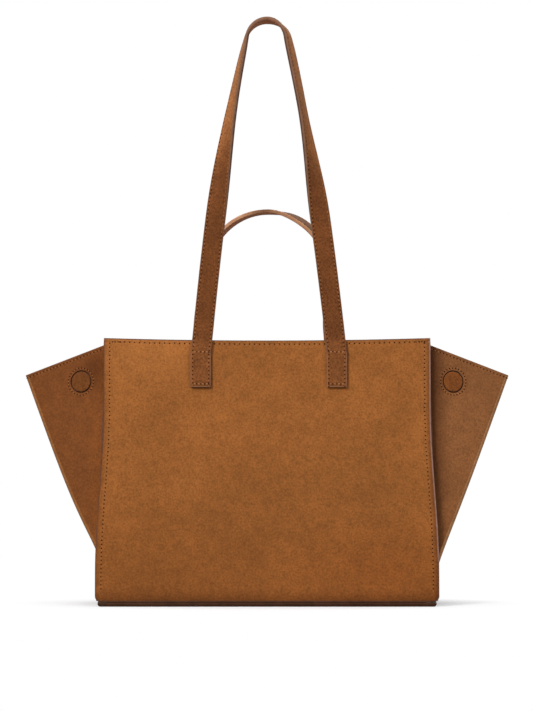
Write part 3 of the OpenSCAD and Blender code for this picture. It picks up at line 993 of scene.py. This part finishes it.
for hand, side in QUARTERS:
    strip = lay_grid(f"{hand}_{side}_sewn_strip", [0, 1, 2, 3, 4], spread(0, 1, 30),
                     lambda a, b: sewn_strip_point(hand, side, a, b))
    close_up(strip)
    apply(strip, "BEVEL", width=0.25 * MM, segments=2, limit_method="ANGLE")
    paint(strip, edge_paint)
    smooth(strip)
    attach(strip, f"{side}_wall")
print("Sewn strips: 4")

# %% [markdown]
# ## The wing buttons
# Each wing carries a round leather disc over a magnet, set in an opening with a narrow open
# ring round it. The opening is cut with a Boolean, because a round hole doesn't fit the rings
# of the gusset. The disc is shaped from a cylinder: its face is inset and raised a little, and
# its rim is bevelled.
# %% Frame of a wing
BUTTON_X, BUTTON_Z = 186.7 * MM, 224 * MM
BUTTON_R, BUTTON_RISE = 10.1 * MM, 0.4 * MM
OPENING_R = BUTTON_R + 1.3 * MM
BOARD_N, BOARD_T = GUSSET_T + SLIP, 1.2 * MM
WING_OUT = RAKE.cross(SEAM_TOP - SEAM_LOW).normalized()


def button_centre():
    across = Vector((-BUTTON_X - SEAM_TOP.x, 0, BUTTON_Z - SEAM_TOP.z))
    y = SEAM_TOP.y - WING_OUT.dot(across) / WING_OUT.y
    return Vector((-BUTTON_X, y, BUTTON_Z))


def wing_frame(hand, side):
    """A matrix from the middle of a button, with Z out of the wing, into the bag."""
    x = (-RAKE - WING_OUT * (-RAKE).dot(WING_OUT)).normalized()
    matrix = Matrix((x, WING_OUT.cross(x), WING_OUT)).transposed().to_4x4()
    matrix.translation = button_centre()
    flip = Matrix.Diagonal((HANDS[hand], SIDES[side], 1, 1))
    return flip @ matrix


def out_of_wing(hand, side):
    """The way the outer face of a wing looks."""
    return Vector((WING_OUT.x * HANDS[hand], WING_OUT.y * SIDES[side], WING_OUT.z))


def settle(piece, matrix):
    """Puts a piece in its place for good: the move goes into its mesh, the object stays."""
    piece.data.transform(piece.matrix_world)
    piece.matrix_world = Matrix.Identity(4)
    piece.data.transform(matrix)
    if matrix.determinant() < 0:
        piece.data.flip_normals()


# %% Openings in the wings
def cut_opening(leather, matrix):
    deselect()
    bpy.ops.mesh.primitive_cylinder_add(vertices=64, radius=OPENING_R, depth=8 * MM)
    cutter = bpy.context.object
    settle(cutter, matrix)
    apply(leather, "BOOLEAN", object=cutter, operation="DIFFERENCE", solver="EXACT")
    bpy.data.objects.remove(cutter)


for (hand, side), leather in gusset_leathers.items():
    cut_opening(leather, wing_frame(hand, side))
    smooth(leather, 30)
    follow_mouth(leather)
    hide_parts(f"{hand}_gusset")
print("Openings cut in", len(gusset_leathers), "wings")


# %% Leather discs
def bevel_edges(piece, wanted, **settings):
    """Bevels the edges for which wanted(a, b) is true of the places of their two ends."""
    bpy.ops.mesh.select_all(action="DESELECT")
    bpy.ops.object.mode_set(mode="OBJECT")
    for edge in piece.data.edges:
        edge.select = wanted(*(piece.data.vertices[i].co for i in edge.vertices))
    bpy.ops.object.mode_set(mode="EDIT")
    bpy.ops.mesh.select_mode(type="EDGE")
    bpy.ops.mesh.bevel(**settings)


def make_disc(name, matrix):
    """A disc whose rim rolls over, from a cylinder with inset and bevelled faces."""
    deselect()
    tall = BOARD_N + BUTTON_RISE
    bpy.ops.mesh.primitive_cylinder_add(vertices=64, radius=BUTTON_R, depth=tall,
                                        location=(0, 0, BUTTON_RISE - tall / 2))
    disc = bpy.context.object
    disc.name = disc.data.name = name
    settle(disc, Matrix.Identity(4))
    near_top = BUTTON_RISE - 0.01 * MM
    edit(disc)
    bevel_edges(disc, lambda a, b: min(a.z, b.z) > near_top,
                offset=0.7 * MM, segments=5, profile=0.5)
    bpy.ops.mesh.select_mode(type="FACE")
    bpy.ops.mesh.select_all(action="DESELECT")
    bpy.ops.object.mode_set(mode="OBJECT")
    for face in disc.data.polygons:
        face.select = face.normal.z > 0.99 and face.center.z > near_top
    bpy.ops.object.mode_set(mode="EDIT")
    bpy.ops.mesh.inset(thickness=1.6 * MM, depth=0.12 * MM)
    bpy.ops.mesh.inset(thickness=3.0 * MM, depth=0.1 * MM)
    bpy.ops.object.mode_set(mode="OBJECT")
    settle(disc, matrix)
    return disc


for hand, side in QUARTERS:
    disc = make_disc(f"{hand}_{side}_wing_disc", wing_frame(hand, side))
    paint(disc, nubuck_disc[hand])
    smooth(disc)
    follow_mouth(disc)
    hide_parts(f"{hand}_{side}_button")
print("Discs: 4")


# %% [markdown]
# The open ring round a disc is dark, because it looks into the shade inside the wing. A thin
# dark washer lies there as painted shade, so that the ring stays dark from every side.
# %% Painted shade in the open rings
def round_spot(radius, i, z):
    """Place i of 48 on a circle round the middle of a button."""
    turn = i * math.tau / 48
    return Vector((radius * math.cos(turn), radius * math.sin(turn), z))


def lay_ring_shade(name, matrix):
    shade_disc = lay_grid(name, [BUTTON_R - 0.5 * MM, OPENING_R + 0.6 * MM], range(49),
                      lambda r, i: round_spot(r, i, -BOARD_N))
    close_up(shade_disc, holes=False)
    apply(shade_disc, "SOLIDIFY", thickness=0.12 * MM, offset=0)
    settle(shade_disc, matrix)
    return shade_disc


for hand, side in QUARTERS:
    shade_disc = lay_ring_shade(f"{hand}_{side}_ring_shade_sheet", wing_frame(hand, side))
    paint(shade_disc, ring_shade_paint)
    smooth(shade_disc)
    follow_mouth(shade_disc)
print("Ring floors: 4")

# %% [markdown]
# ## Inside the gussets
# Boards keep the wings and the sides flat between the creases, and a lining covers them. The
# lining is laid over the same rings as the leather, as a sheet with a thickness.
# %% Gusset lining
LINING_N = BOARD_N + BOARD_T + SLIP
LINING_T = 0.7 * MM


def lining_rows():
    rings = climb(below_top(0.3 * MM), 34)
    up = [(u, LINING_N) for u in rings]
    down = [(u, LINING_N + LINING_T) for u in reversed(rings)]
    return up + down + [up[0]]


for hand, side in QUARTERS:
    lining = lay_grid(f"{hand}_{side}_gusset_twill", GUSSET_COLUMNS, lining_rows(),
                      lambda a, b: gusset_point(hand, side, b[0], b[1], STACK_N + SLIP, *a))
    close_up(lining)
    paint(lining, lining_twill)
    smooth(lining, 30)
    follow_mouth(lining)
    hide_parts(f"{hand}_gusset_lining")
print("Gusset linings: 4 halves")

# %% [markdown]
# The board of a side is laid behind the leather of its own hand, because the two creases draw
# in by different amounts near the base. It stays with the base. The boards and magnets of the
# wings are copies of the imported ones, with more points.
# %% Side boards
FOLD_CLEAR = 8 * MM


def side_board_point(hand, u, corner):
    """A corner of the board's section on ring u, behind the leather and clear of the folds."""
    t = BOARD_N + (BOARD_T if corner in (2, 3) else 0)
    edge = fold(u, hand)
    half = abs(edge.y) - FOLD_CLEAR
    y = half if corner in (1, 2) else -half
    return Vector(((edge.x + t * math.cos(TILT)) * HANDS[hand], y, edge.z + t * math.sin(TILT)))


for hand in HANDS:
    board = lay_grid(f"{hand}_side_board", [0, 1, 2, 3, 0], spread(0.1, 0.79, 24),
                     lambda corner, u: side_board_point(hand, u, corner))
    close_up(board)
    paint(board, board_grey)
    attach(board, "base")
    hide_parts(f"{hand}_side_stiffener")
    print(board.name, len(board.data.polygons), "faces")


# %% Copies of the boards and magnets of the wings
def soft_copy(node, name, finish):
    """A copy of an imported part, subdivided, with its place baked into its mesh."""
    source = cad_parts[node]
    copy = source.copy()
    copy.data = source.data.copy()
    copy.parent = None
    bpy.context.collection.objects.link(copy)
    copy.matrix_world = Matrix.Identity(4)
    copy.name = copy.data.name = name
    copy.data.materials.clear()
    paint(copy, finish)
    edit(copy)
    bpy.ops.mesh.remove_doubles(threshold=SAME_PLACE)
    bpy.ops.mesh.subdivide(number_cuts=5)
    bpy.ops.mesh.normals_make_consistent(inside=False)
    bpy.ops.object.mode_set(mode="OBJECT")
    follow_mouth(copy)
    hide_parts(node)


for hand, side in QUARTERS:
    wing = f"{hand}_{side}"
    soft_copy(f"{wing}_wing_stiffener", f"{wing}_wing_board", board_grey)
    soft_copy(f"{wing}_magnet", f"{wing}_magnet_disc", magnet_steel)
print("Boards and magnets: 4 each")

# %% [markdown]
# ## The shoulder strap and the hand handle
# Both are two long strips of leather, glued back to back, stitched near both edges and painted
# on the cut. They lie flat on a wall at their sewn ends, leave it at the top edge, straighten
# up, and turn on edge on the way to the crown. That is a sweep: one rounded section is carried
# along a path, and turned a little more at each step.
# %% Path of a strap
STRAP_W, STRAP_T, STRAP_X = 20 * MM, 3.9 * MM, 68 * MM
TAB_LOW_H, TAB_TOP_H = 214.5 * MM, 248.5 * MM
BEND_H, BEND_LEN = WALL_H + 1 * MM, 16 * MM
# "lean" is how far a leg leans in at its two ends, and "pull" how stiffly it keeps to that.
# "left" and "right" say how a leg turns: by how many degrees before the crown, over what share
# of the way, and how late the rest of "crown_turn" comes.
STRAPS = {
    "shoulder_strap": {"side": "front", "top_z": 587.4 * MM, "crown_r": 21 * MM,
                       "lean": (6, 13), "pull": (0.33, 0.33), "twist_z": 370 * MM,
                       "left": (72, 0.78, 7), "right": (72, 0.62, 22), "crown_turn": 98},
    "hand_handle": {"side": "back", "top_z": 398 * MM, "crown_r": 62 * MM,
                    "lean": (6, 27), "pull": (0.33, 0.16), "twist_z": 270 * MM,
                    "left": (80, 0.72, 12), "right": (107, 0.62, 30), "crown_turn": 86},
}


def bend_share(h):
    return clamp((h - BEND_H) / BEND_LEN)


def strap_middle(x, h):
    """Middle of the strap at height h: on the wall first, then straightening up."""
    foot = on_wall(x, -STRAP_T / 2, min(h, BEND_H))
    w = bend_share(h) * BEND_LEN
    return foot + Vector((0, w * (1 - w / BEND_LEN / 2) * LEAN, max(h - BEND_H, 0)))


def bezier(a, b, c, d, t):
    s = 1 - t
    return s ** 3 * a + 3 * s * s * t * b + 3 * s * t * t * c + t ** 3 * d


def arch(shape, top_h):
    """Half an arch in the plane of the strap, from its sewn end up to the crown."""
    crown_r = shape["crown_r"]
    middle = Vector((0, top_h - crown_r))
    low, high = (math.radians(v) for v in shape["lean"])
    start = Vector((-STRAP_X, TAB_TOP_H + 0.15 * MM))
    end = middle + crown_r * Vector((-math.cos(high), math.sin(high)))
    pull_low, pull_high = ((end - start).length * v for v in shape["pull"])
    a = start + pull_low * Vector((math.sin(low), math.cos(low)))
    b = end - pull_high * Vector((math.sin(high), math.cos(high)))
    heights = [TAB_LOW_H, TAB_LOW_H + 0.6 * MM] + spread(TAB_LOW_H + 5 * MM, TAB_TOP_H - MM, 7)
    tab = [Vector((-STRAP_X, h)) for h in heights]
    legs = [bezier(start, a, b, end, i / 90) for i in range(91)]
    crown = []
    for i in range(1, 17):
        turn = math.pi - high + (math.pi / 2 - math.pi + high) * i / 16
        crown.append(middle + crown_r * Vector((math.cos(turn), math.sin(turn))))
    return tab + legs + crown


# %% [markdown]
# Both sewn pairs sit one to two millimetres right of the middle in the photograph, as hand work
# does. The strap is moved most at its foot and less and less towards the crown, which is in the
# middle again. The handle is moved as a whole.
# %% Frames along a strap
def off_middle(side, h):
    if side == "back":
        return 1.0 * MM
    return 1.7 * MM * clamp((480 * MM - h) / (210 * MM))


def painted_light_share(h, twist):
    """The share of painted light: some on the sewn end, none just above, then more with the turn.
    """
    sewn = 0.18 * clamp((WALL_H + 2 * MM - h) / (9 * MM))
    return max(sewn, soften(clamp((math.degrees(twist) - 34) / 36)))


def strap_z(h):
    """Height above the floor of a place h along the strap, past its bend."""
    return on_wall(0, -STRAP_T / 2, BEND_H).z - BEND_H + h


def twist_at(shape, h, top_h, hand):
    """The turn of the strap at height h: most of it comes early, the rest at the crown."""
    most, share, power = shape[hand]
    start = shape["twist_z"] - strap_z(0)
    v = clamp((h - start) / (top_h - start))
    early = math.sin(math.radians(90 * clamp(v / share) ** 1.2))
    return math.radians(most * early + (shape["crown_turn"] - most) * v ** power)


def strap_frames(shape):
    """A strap step by step: its middle, the directions of its width and of its face, the
    share of painted light and the share of the turn that shows."""
    side = shape["side"]
    top_h = shape["top_z"] - STRAP_T / 2 - strap_z(0)
    half = arch(shape, top_h)
    whole = half + [Vector((-p.x, p.y)) for p in reversed(half[:-1])]
    frames = []
    for i, here in enumerate(whole):
        before, after = whole[max(0, i - 1)], whole[min(len(whole) - 1, i + 1)]
        along = (after - before).normalized()
        twist = twist_at(shape, here.y, top_h, "left" if i < len(half) else "right")
        up = LEAN * (1 - bend_share(here.y))
        rising = Vector((0, math.sin(up), math.cos(up)))
        out = Vector((0, -math.cos(up), math.sin(up)))
        across = Vector((along.y, 0, 0)) - along.x * rising
        wide = across * math.cos(twist) + out * math.sin(twist)
        face = out * math.cos(twist) - across * math.sin(twist)
        flip = Matrix.Diagonal((1, SIDES[side], 1))
        off = Vector((off_middle(side, here.y), 0, 0))
        middle = strap_middle(here.x, here.y) + off
        frames.append(tuple(flip @ v for v in (middle, wide, face))
                      + (painted_light_share(here.y, twist), clamp(math.degrees(twist) / 45)))
    return frames


# %% [markdown]
# The section is drawn once: a nearly flat face with two grooves for the stitches, a rounded
# painted edge, and the same for the inner leather. A shallow line along the edge shows where
# the two leathers are glued.
# %% Section of a strap
STRAP_LINE, STRAP_RIM, GROOVE_SHARE, TAB_ROWS = 2.0 * MM, 9.6 * MM, 0.8, 8


def strap_section():
    """Points round the section as (across, out, finish).

    The finishes are 0 outer leather, 1 its cut edge, 2 inner leather and 3 its cut edge."""
    half_w, half_t = STRAP_W / 2, STRAP_T / 2
    marks = in_mm(4, 7.1, 7.6, 8.0, 8.4, 8.9, 9.4, 9.75)
    outer = []
    for w in marks[::-1] + [0] + [-m for m in marks]:
        dip = groove((half_w - abs(w)) - STRAP_LINE) * GROOVE_SHARE
        outer.append((w, half_t - dip - roll(half_w - abs(w), 0.9 * MM, 0.5 * MM)))
    upper = [(-half_w - 0.02 * MM, half_t - 0.55 * MM), (-half_w - 0.1 * MM, 0.7 * MM),
             (-half_w, 0.12 * MM)]
    edge = upper + [(w, -f) for w, f in reversed(upper)]
    section = [(w, f, 1 if abs(w) > STRAP_RIM else 0) for w, f in outer]
    section += [(w, f, 1 if f > 0 else 3) for w, f in edge]
    section += [(w, -f, 2) for w, f in reversed(outer)]
    section += [(-w, f, 1 if f > 0 else 3) for w, f in reversed(edge)]
    return section


# %% The strap and the handle
def make_strap(name):
    """A strap with its tone, its frames and its section."""
    frames, section = strap_frames(STRAPS[name]), strap_section()
    order = list(range(len(section))) + [0]

    def place(i, k):
        middle, wide, face, *_ = frames[k]
        w, f, _ = section[i]
        if k in (0, len(frames) - 1):
            w, f = w * 0.985, f * 0.8
        return middle + w * wide + f * face

    strap = lay_grid(f"{name}_leather", order, range(len(frames)), place)
    # The "tone" attribute is painted light: paler where the strap turns on edge, on its sewn
    # ends, and on one side of its width as it turns.
    tone = strap.data.attributes.new("tone", "FLOAT", "POINT")
    for index, value in enumerate(tone.data):
        paler_share, lean = frames[index // len(order)][3:]
        outer = -section[order[index % len(order)]][0] / (STRAP_W / 2)
        value.value = max(0.0, paler_share + 0.3 * outer * lean)
    return strap, frames, section


def paint_strap(strap, frames, section):
    """Gives each face the finish of the part of the section that it lies on.

    Where the ends are sewn down, their rims get a painted highlight: finish 4."""
    count = len(section)
    pairs = [(section[i][2], section[(i + 1) % count][2]) for i in range(count)]
    finishes = [a if a == b else 3 if 2 in (a, b) else 1 for a, b in pairs]
    highlit_rim = [a[2] + b[2] < 2 and max(abs(a[0]), abs(b[0])) > STRAP_RIM
              for a, b in zip(section, section[1:] + section[:1])]
    rows = len(frames) - 1
    for index, face in enumerate(strap.data.polygons):
        row, column = divmod(index, count)
        if row >= rows:
            face.material_index = 3
            continue
        face.material_index = finishes[column]
        sewn = min(row, rows - 1 - row)
        if sewn <= TAB_ROWS and highlit_rim[column] or sewn == 0 and finishes[column] == 0:
            face.material_index = 4


def swing(piece):
    """Bakes the place of a strap into its mesh."""
    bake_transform(piece)


STRAP_FINISHES = {
    "shoulder_strap": (nubuck_strap, edge_paint_strap, nubuck_backing, edge_paint_inner,
                       edge_painted_highlight),
    "hand_handle": (nubuck_handle, edge_paint_warm, nubuck_backing, edge_paint_warm, edge_painted_highlight),
}
strap_work = {}
for name in STRAPS:
    strap, frames, section = make_strap(name)
    paint(strap, *STRAP_FINISHES[name])
    paint_strap(strap, frames, section)
    close_up(strap)
    smooth(strap, 45)
    swing(strap)
    tab = name.split("_")[-1] + "_tab"
    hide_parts(name, f"{name}_backing", f"left_{tab}", f"right_{tab}")
    strap_work[name] = frames
    print(strap.name, len(strap.data.polygons), "faces,", len(frames), "steps")

# %% [markdown]
# ## The base
# The base is a board wrapped in dark leather under the four walls, almost as wide as a wall at
# its foot. In front it shows as a thin dark line whose ends are rounded. It starts as a cube
# and is set to size in edit mode. Its lower ends are rounded first, then its corners, and then
# its top edges get a small bevel.
# %% Base leather
BASE_W, BASE_CORNER_R = WALL_FOOT_W - 4 * MM, 6 * MM


def make_base():
    deselect()
    bpy.ops.mesh.primitive_cube_add(size=1, location=(0, 0, 0))
    base = bpy.context.object
    base.name = base.data.name = "base_leather"
    edit(base)
    bpy.ops.transform.resize(value=(BASE_W, BASE_D, BASE_T))
    bpy.ops.transform.translate(value=(0, 0, BASE_T / 2))
    bevel_edges(base, lambda a, b: abs(a.x - b.x) < MM and max(a.z, b.z) < MM,
                offset=3.4 * MM, segments=6)
    bevel_edges(base, lambda a, b: abs(a.y - b.y) < MM and abs(a.z - b.z) > 0.1 * MM
                and abs(a.x) > BASE_W / 2 - 0.1 * MM and abs(b.x) > BASE_W / 2 - 0.1 * MM,
                offset=BASE_CORNER_R, segments=6)
    bevel_edges(base, lambda a, b: abs(a.z - b.z) < 0.1 * MM and min(a.z, b.z) > 1 * MM,
                offset=0.5 * MM, segments=3)
    bpy.ops.mesh.select_all(action="SELECT")
    bpy.ops.object.mode_set(mode="OBJECT")
    return base


base = make_base()
# All but the underside is the base's own dark edge paint, and also painted shade where the base
# meets the floor.
paint(base, nubuck_facing, edge_paint_with_foot_shade)
for face in base.data.polygons:
    face.material_index = 1 if face.normal.z > -0.9 else 0
smooth(base)
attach(base, "base")
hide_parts("base_panel")
print("Base:", tuple(round(v / MM, 1) for v in base.dimensions), "mm")

# %% [markdown]
# ## Parts that stay as they are packed
# The boards of the walls and the base, the wall linings, the facings and the base lining are
# right as they were packed, so they only get their finishes.
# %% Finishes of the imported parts
PACKED_FINISHES = {
    "base_board": board_grey, "base_lining": lining_twill,
    "front_stiffener": board_grey, "back_stiffener": board_grey,
    "front_lining": lining_twill, "back_lining": lining_twill,
    "front_facing": nubuck_facing, "back_facing": nubuck_facing,
}
for node, finish in PACKED_FINISHES.items():
    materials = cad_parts[node].data.materials
    for index in range(len(materials)):
        materials[index] = finish
    if not len(materials):
        materials.append(finish)
print("Packed parts with a finish:", len(PACKED_FINISHES))

# %% [markdown]
# ## Stitches
# Every seam of the bag is a row of the same stitch: a short bulge of waxed thread between two
# dark holes. One stitch is shaped from a sphere, stretched and squared off, with a small dark
# disc at its end, which is painted shade in the hole. It is then copied along each line, every
# copy with its own mesh, and a line's copies are joined to one piece.
# %% One stitch
PITCH, CREST_PITCH, CORNER_PITCH = 4.05 * MM, 5.0 * MM, 2.7 * MM
GUSSET_PITCH, RING_PITCH, RING_R = 3.8 * MM, 3.3 * MM, 13.6 * MM
THREAD_D, HOLE_D, HOLE_GAP, LIFT = 0.7 * MM, 1.5 * MM, 1.5 * MM, 0.02 * MM


def make_stitch(length, finish):
    """A stitch along X that lies on Z = 0, with a dark disc of painted hole shade at one end."""
    deselect()
    bpy.ops.mesh.primitive_uv_sphere_add(segments=6, ring_count=5, radius=1)
    thread = bpy.context.object
    for vertex in thread.data.vertices:
        x, y, z = vertex.co.z, vertex.co.y, vertex.co.x
        x = math.copysign(abs(x) ** 0.7, x)
        vertex.co = (x * length / 2, y * THREAD_D / 2,
                     z * THREAD_D / 2 * 0.8 - 0.12 * MM - 0.12 * MM * abs(x) ** 3)
    paint(thread, finish, stitch_hole_shade)
    bpy.ops.mesh.primitive_circle_add(vertices=8, radius=HOLE_D / 2, fill_type="NGON",
                                      location=(length / 2 + 0.7 * MM, 0, 0.08 * MM))
    shade_dot = bpy.context.object
    shade_dot.data.transform(shade_dot.matrix_world)
    shade_dot.matrix_world = Matrix.Identity(4)
    paint(shade_dot, stitch_hole_shade)
    pick(shade_dot, thread)
    bpy.ops.object.join()
    for face in thread.data.polygons:
        face.use_smooth = True
    return thread


# %% A row of stitches
def walk(trace, pitch):
    """Matrices along a trace of (point, outward) pairs, about one stitch every pitch."""
    lengths = [0.0]
    for (p, _), (q, _) in zip(trace, trace[1:]):
        lengths.append(lengths[-1] + (q - p).length)
    count = max(1, round(lengths[-1] / pitch))
    step = lengths[-1] / count
    places, k = [], 0
    for i in range(count):
        at = (i + 0.5) * step
        while k < len(lengths) - 2 and lengths[k + 1] < at:
            k += 1
        share = (at - lengths[k]) / max(1e-9, lengths[k + 1] - lengths[k])
        (p, n), (q, m) = trace[k], trace[k + 1]
        z = n.lerp(m, share).normalized()
        x = (q - p).normalized()
        y = z.cross(x).normalized()
        matrix = Matrix((y.cross(z), y, z)).transposed().to_4x4()
        matrix.translation = p.lerp(q, share)
        places.append(matrix)
    return places


def sew(name, traces, pitch=PITCH, finish=thread_tan):
    """Copies one stitch along all the traces and joins the copies to one piece."""
    pattern = make_stitch(pitch - HOLE_GAP, finish)
    rng = random.Random(name)
    copies = []
    for trace in traces:
        for matrix in walk(trace, pitch):
            copy = pattern.copy()
            copy.data = pattern.data.copy()
            bpy.context.collection.objects.link(copy)
            sway = Matrix.Rotation(math.radians(rng.uniform(-5, 5)), 4, "Z")
            copy.data.transform(matrix @ sway)
            copies.append(copy)
    bpy.data.objects.remove(pattern)
    pick(*copies[1:], copies[0])
    bpy.ops.object.join()
    row = bpy.context.object
    row.name = row.data.name = name
    print(name, len(copies), "stitches")
    return row


# %% Stitches of the walls
def on_leather(side, x, h, way=1):
    """A place just over a wall leather, and the way that the face looks there."""
    n = leather_depth(x / half_width(h), h) - 0.06 * MM
    return on_wall(way * x, n, h, side), wall_normal(side)


def crest_trace(side, *ends):
    """The stitch line along the top of a wall, between two shares of its half width."""
    half = half_width(WALL_H) - SIDE_LINE
    return [on_leather(side, a * half, crest_h(a) - TOP_LINE) for a in spread(*ends, 80)]


def side_trace(side, way):
    """The stitch line up one side of a wall."""
    return [on_leather(side, half_width(h) - SIDE_LINE, h, way)
            for h in spread(9 * MM, WALL_H - TOP_LINE - 1.5 * MM, 80)]


for side in SIDES:
    crest = sew(f"{side}_crest_stitches", [crest_trace(side, -1, 1)], CREST_PITCH)
    ends = sew(f"{side}_corner_stitches",
               [crest_trace(side, -1, -0.93), crest_trace(side, 0.93, 1)], CORNER_PITCH)
    sides = sew(f"{side}_side_stitches", [side_trace(side, way) for way in (-1, 1)])
    for row in (crest, ends, sides):
        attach(row, f"{side}_wall")


# %% Stitches of the gussets
def gusset_trace(hand, side):
    """The line along the top edge of a wing, its crease and its side."""
    u = below_top(GUSSET_LINE)
    points = []
    for part, first, count in ((0, 0.08, 12), (1, 0.1, 8), (2, 0.1, 5)):
        for s in spread(first, 1, count):
            here = gusset_point(hand, side, u, GROOVE_D - LIFT, NOTCH_N, part, s)
            inner = gusset_point(hand, side, u, GROOVE_D + 0.5 * MM, NOTCH_N, part, s)
            outward = (here - inner).normalized() if part else out_of_wing(hand, side)
            points.append((here, outward))
    return points


def ring_trace(hand, side):
    """The round line of stitches outside the open ring of a button."""
    matrix, outward = wing_frame(hand, side), out_of_wing(hand, side)
    return [(matrix @ round_spot(RING_R, i, LIFT), outward) for i in range(49)]


for hand, side in QUARTERS:
    top = sew(f"{hand}_{side}_gusset_stitches", [gusset_trace(hand, side)], GUSSET_PITCH)
    ring = sew(f"{hand}_{side}_ring_stitches", [ring_trace(hand, side)], RING_PITCH)
    for row in (top, ring):
        follow_mouth(row)


# %% Stitches of the straps
def strap_trace(frames, across, face_side, first, last):
    """A line along a strap at a distance across its middle, on its outer or inner face."""
    height = STRAP_T / 2 - GROOVE_D * GROOVE_SHARE + LIFT
    return [(middle + across * wide + face_side * height * face, face_side * face)
            for middle, wide, face, *_ in frames[first:last]]


def tab_box(frames, low_row, high_row):
    """The two bars of stitches, low and high, that hold a sewn end to the wall."""
    bars = []
    for row, up in ((low_row, 2.9 * MM), (high_row, 2.0 * MM)):
        middle, wide, face, *_ = frames[row]
        along = face.cross(wide).normalized()
        if along.z < 0:
            along = -along
        height = STRAP_T / 2 + LIFT
        bars.append([(middle + w * wide + height * face + up * along, face)
                     for w in spread(-8 * MM, 8 * MM, 9)])
    return bars


for name, frames in strap_work.items():
    line, last = STRAP_W / 2 - STRAP_LINE, len(frames) - 1
    traces = [strap_trace(frames, w, 1, 0, last + 1) for w in (-line, line)]
    traces += [strap_trace(frames, w, -1, 13, last - 12) for w in (-line, line)]
    bars = tab_box(frames, 0, TAB_ROWS) + tab_box(frames, last, last - TAB_ROWS)
    for row in (sew(f"{name}_stitches", traces),
                sew(f"{name}_bar_stitches", bars, finish=thread_pale)):
        swing(row)

# %% Both boxes, as lists
size = {"cad": [list(c) for c in cad_box], "visual": [list(c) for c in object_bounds()]}
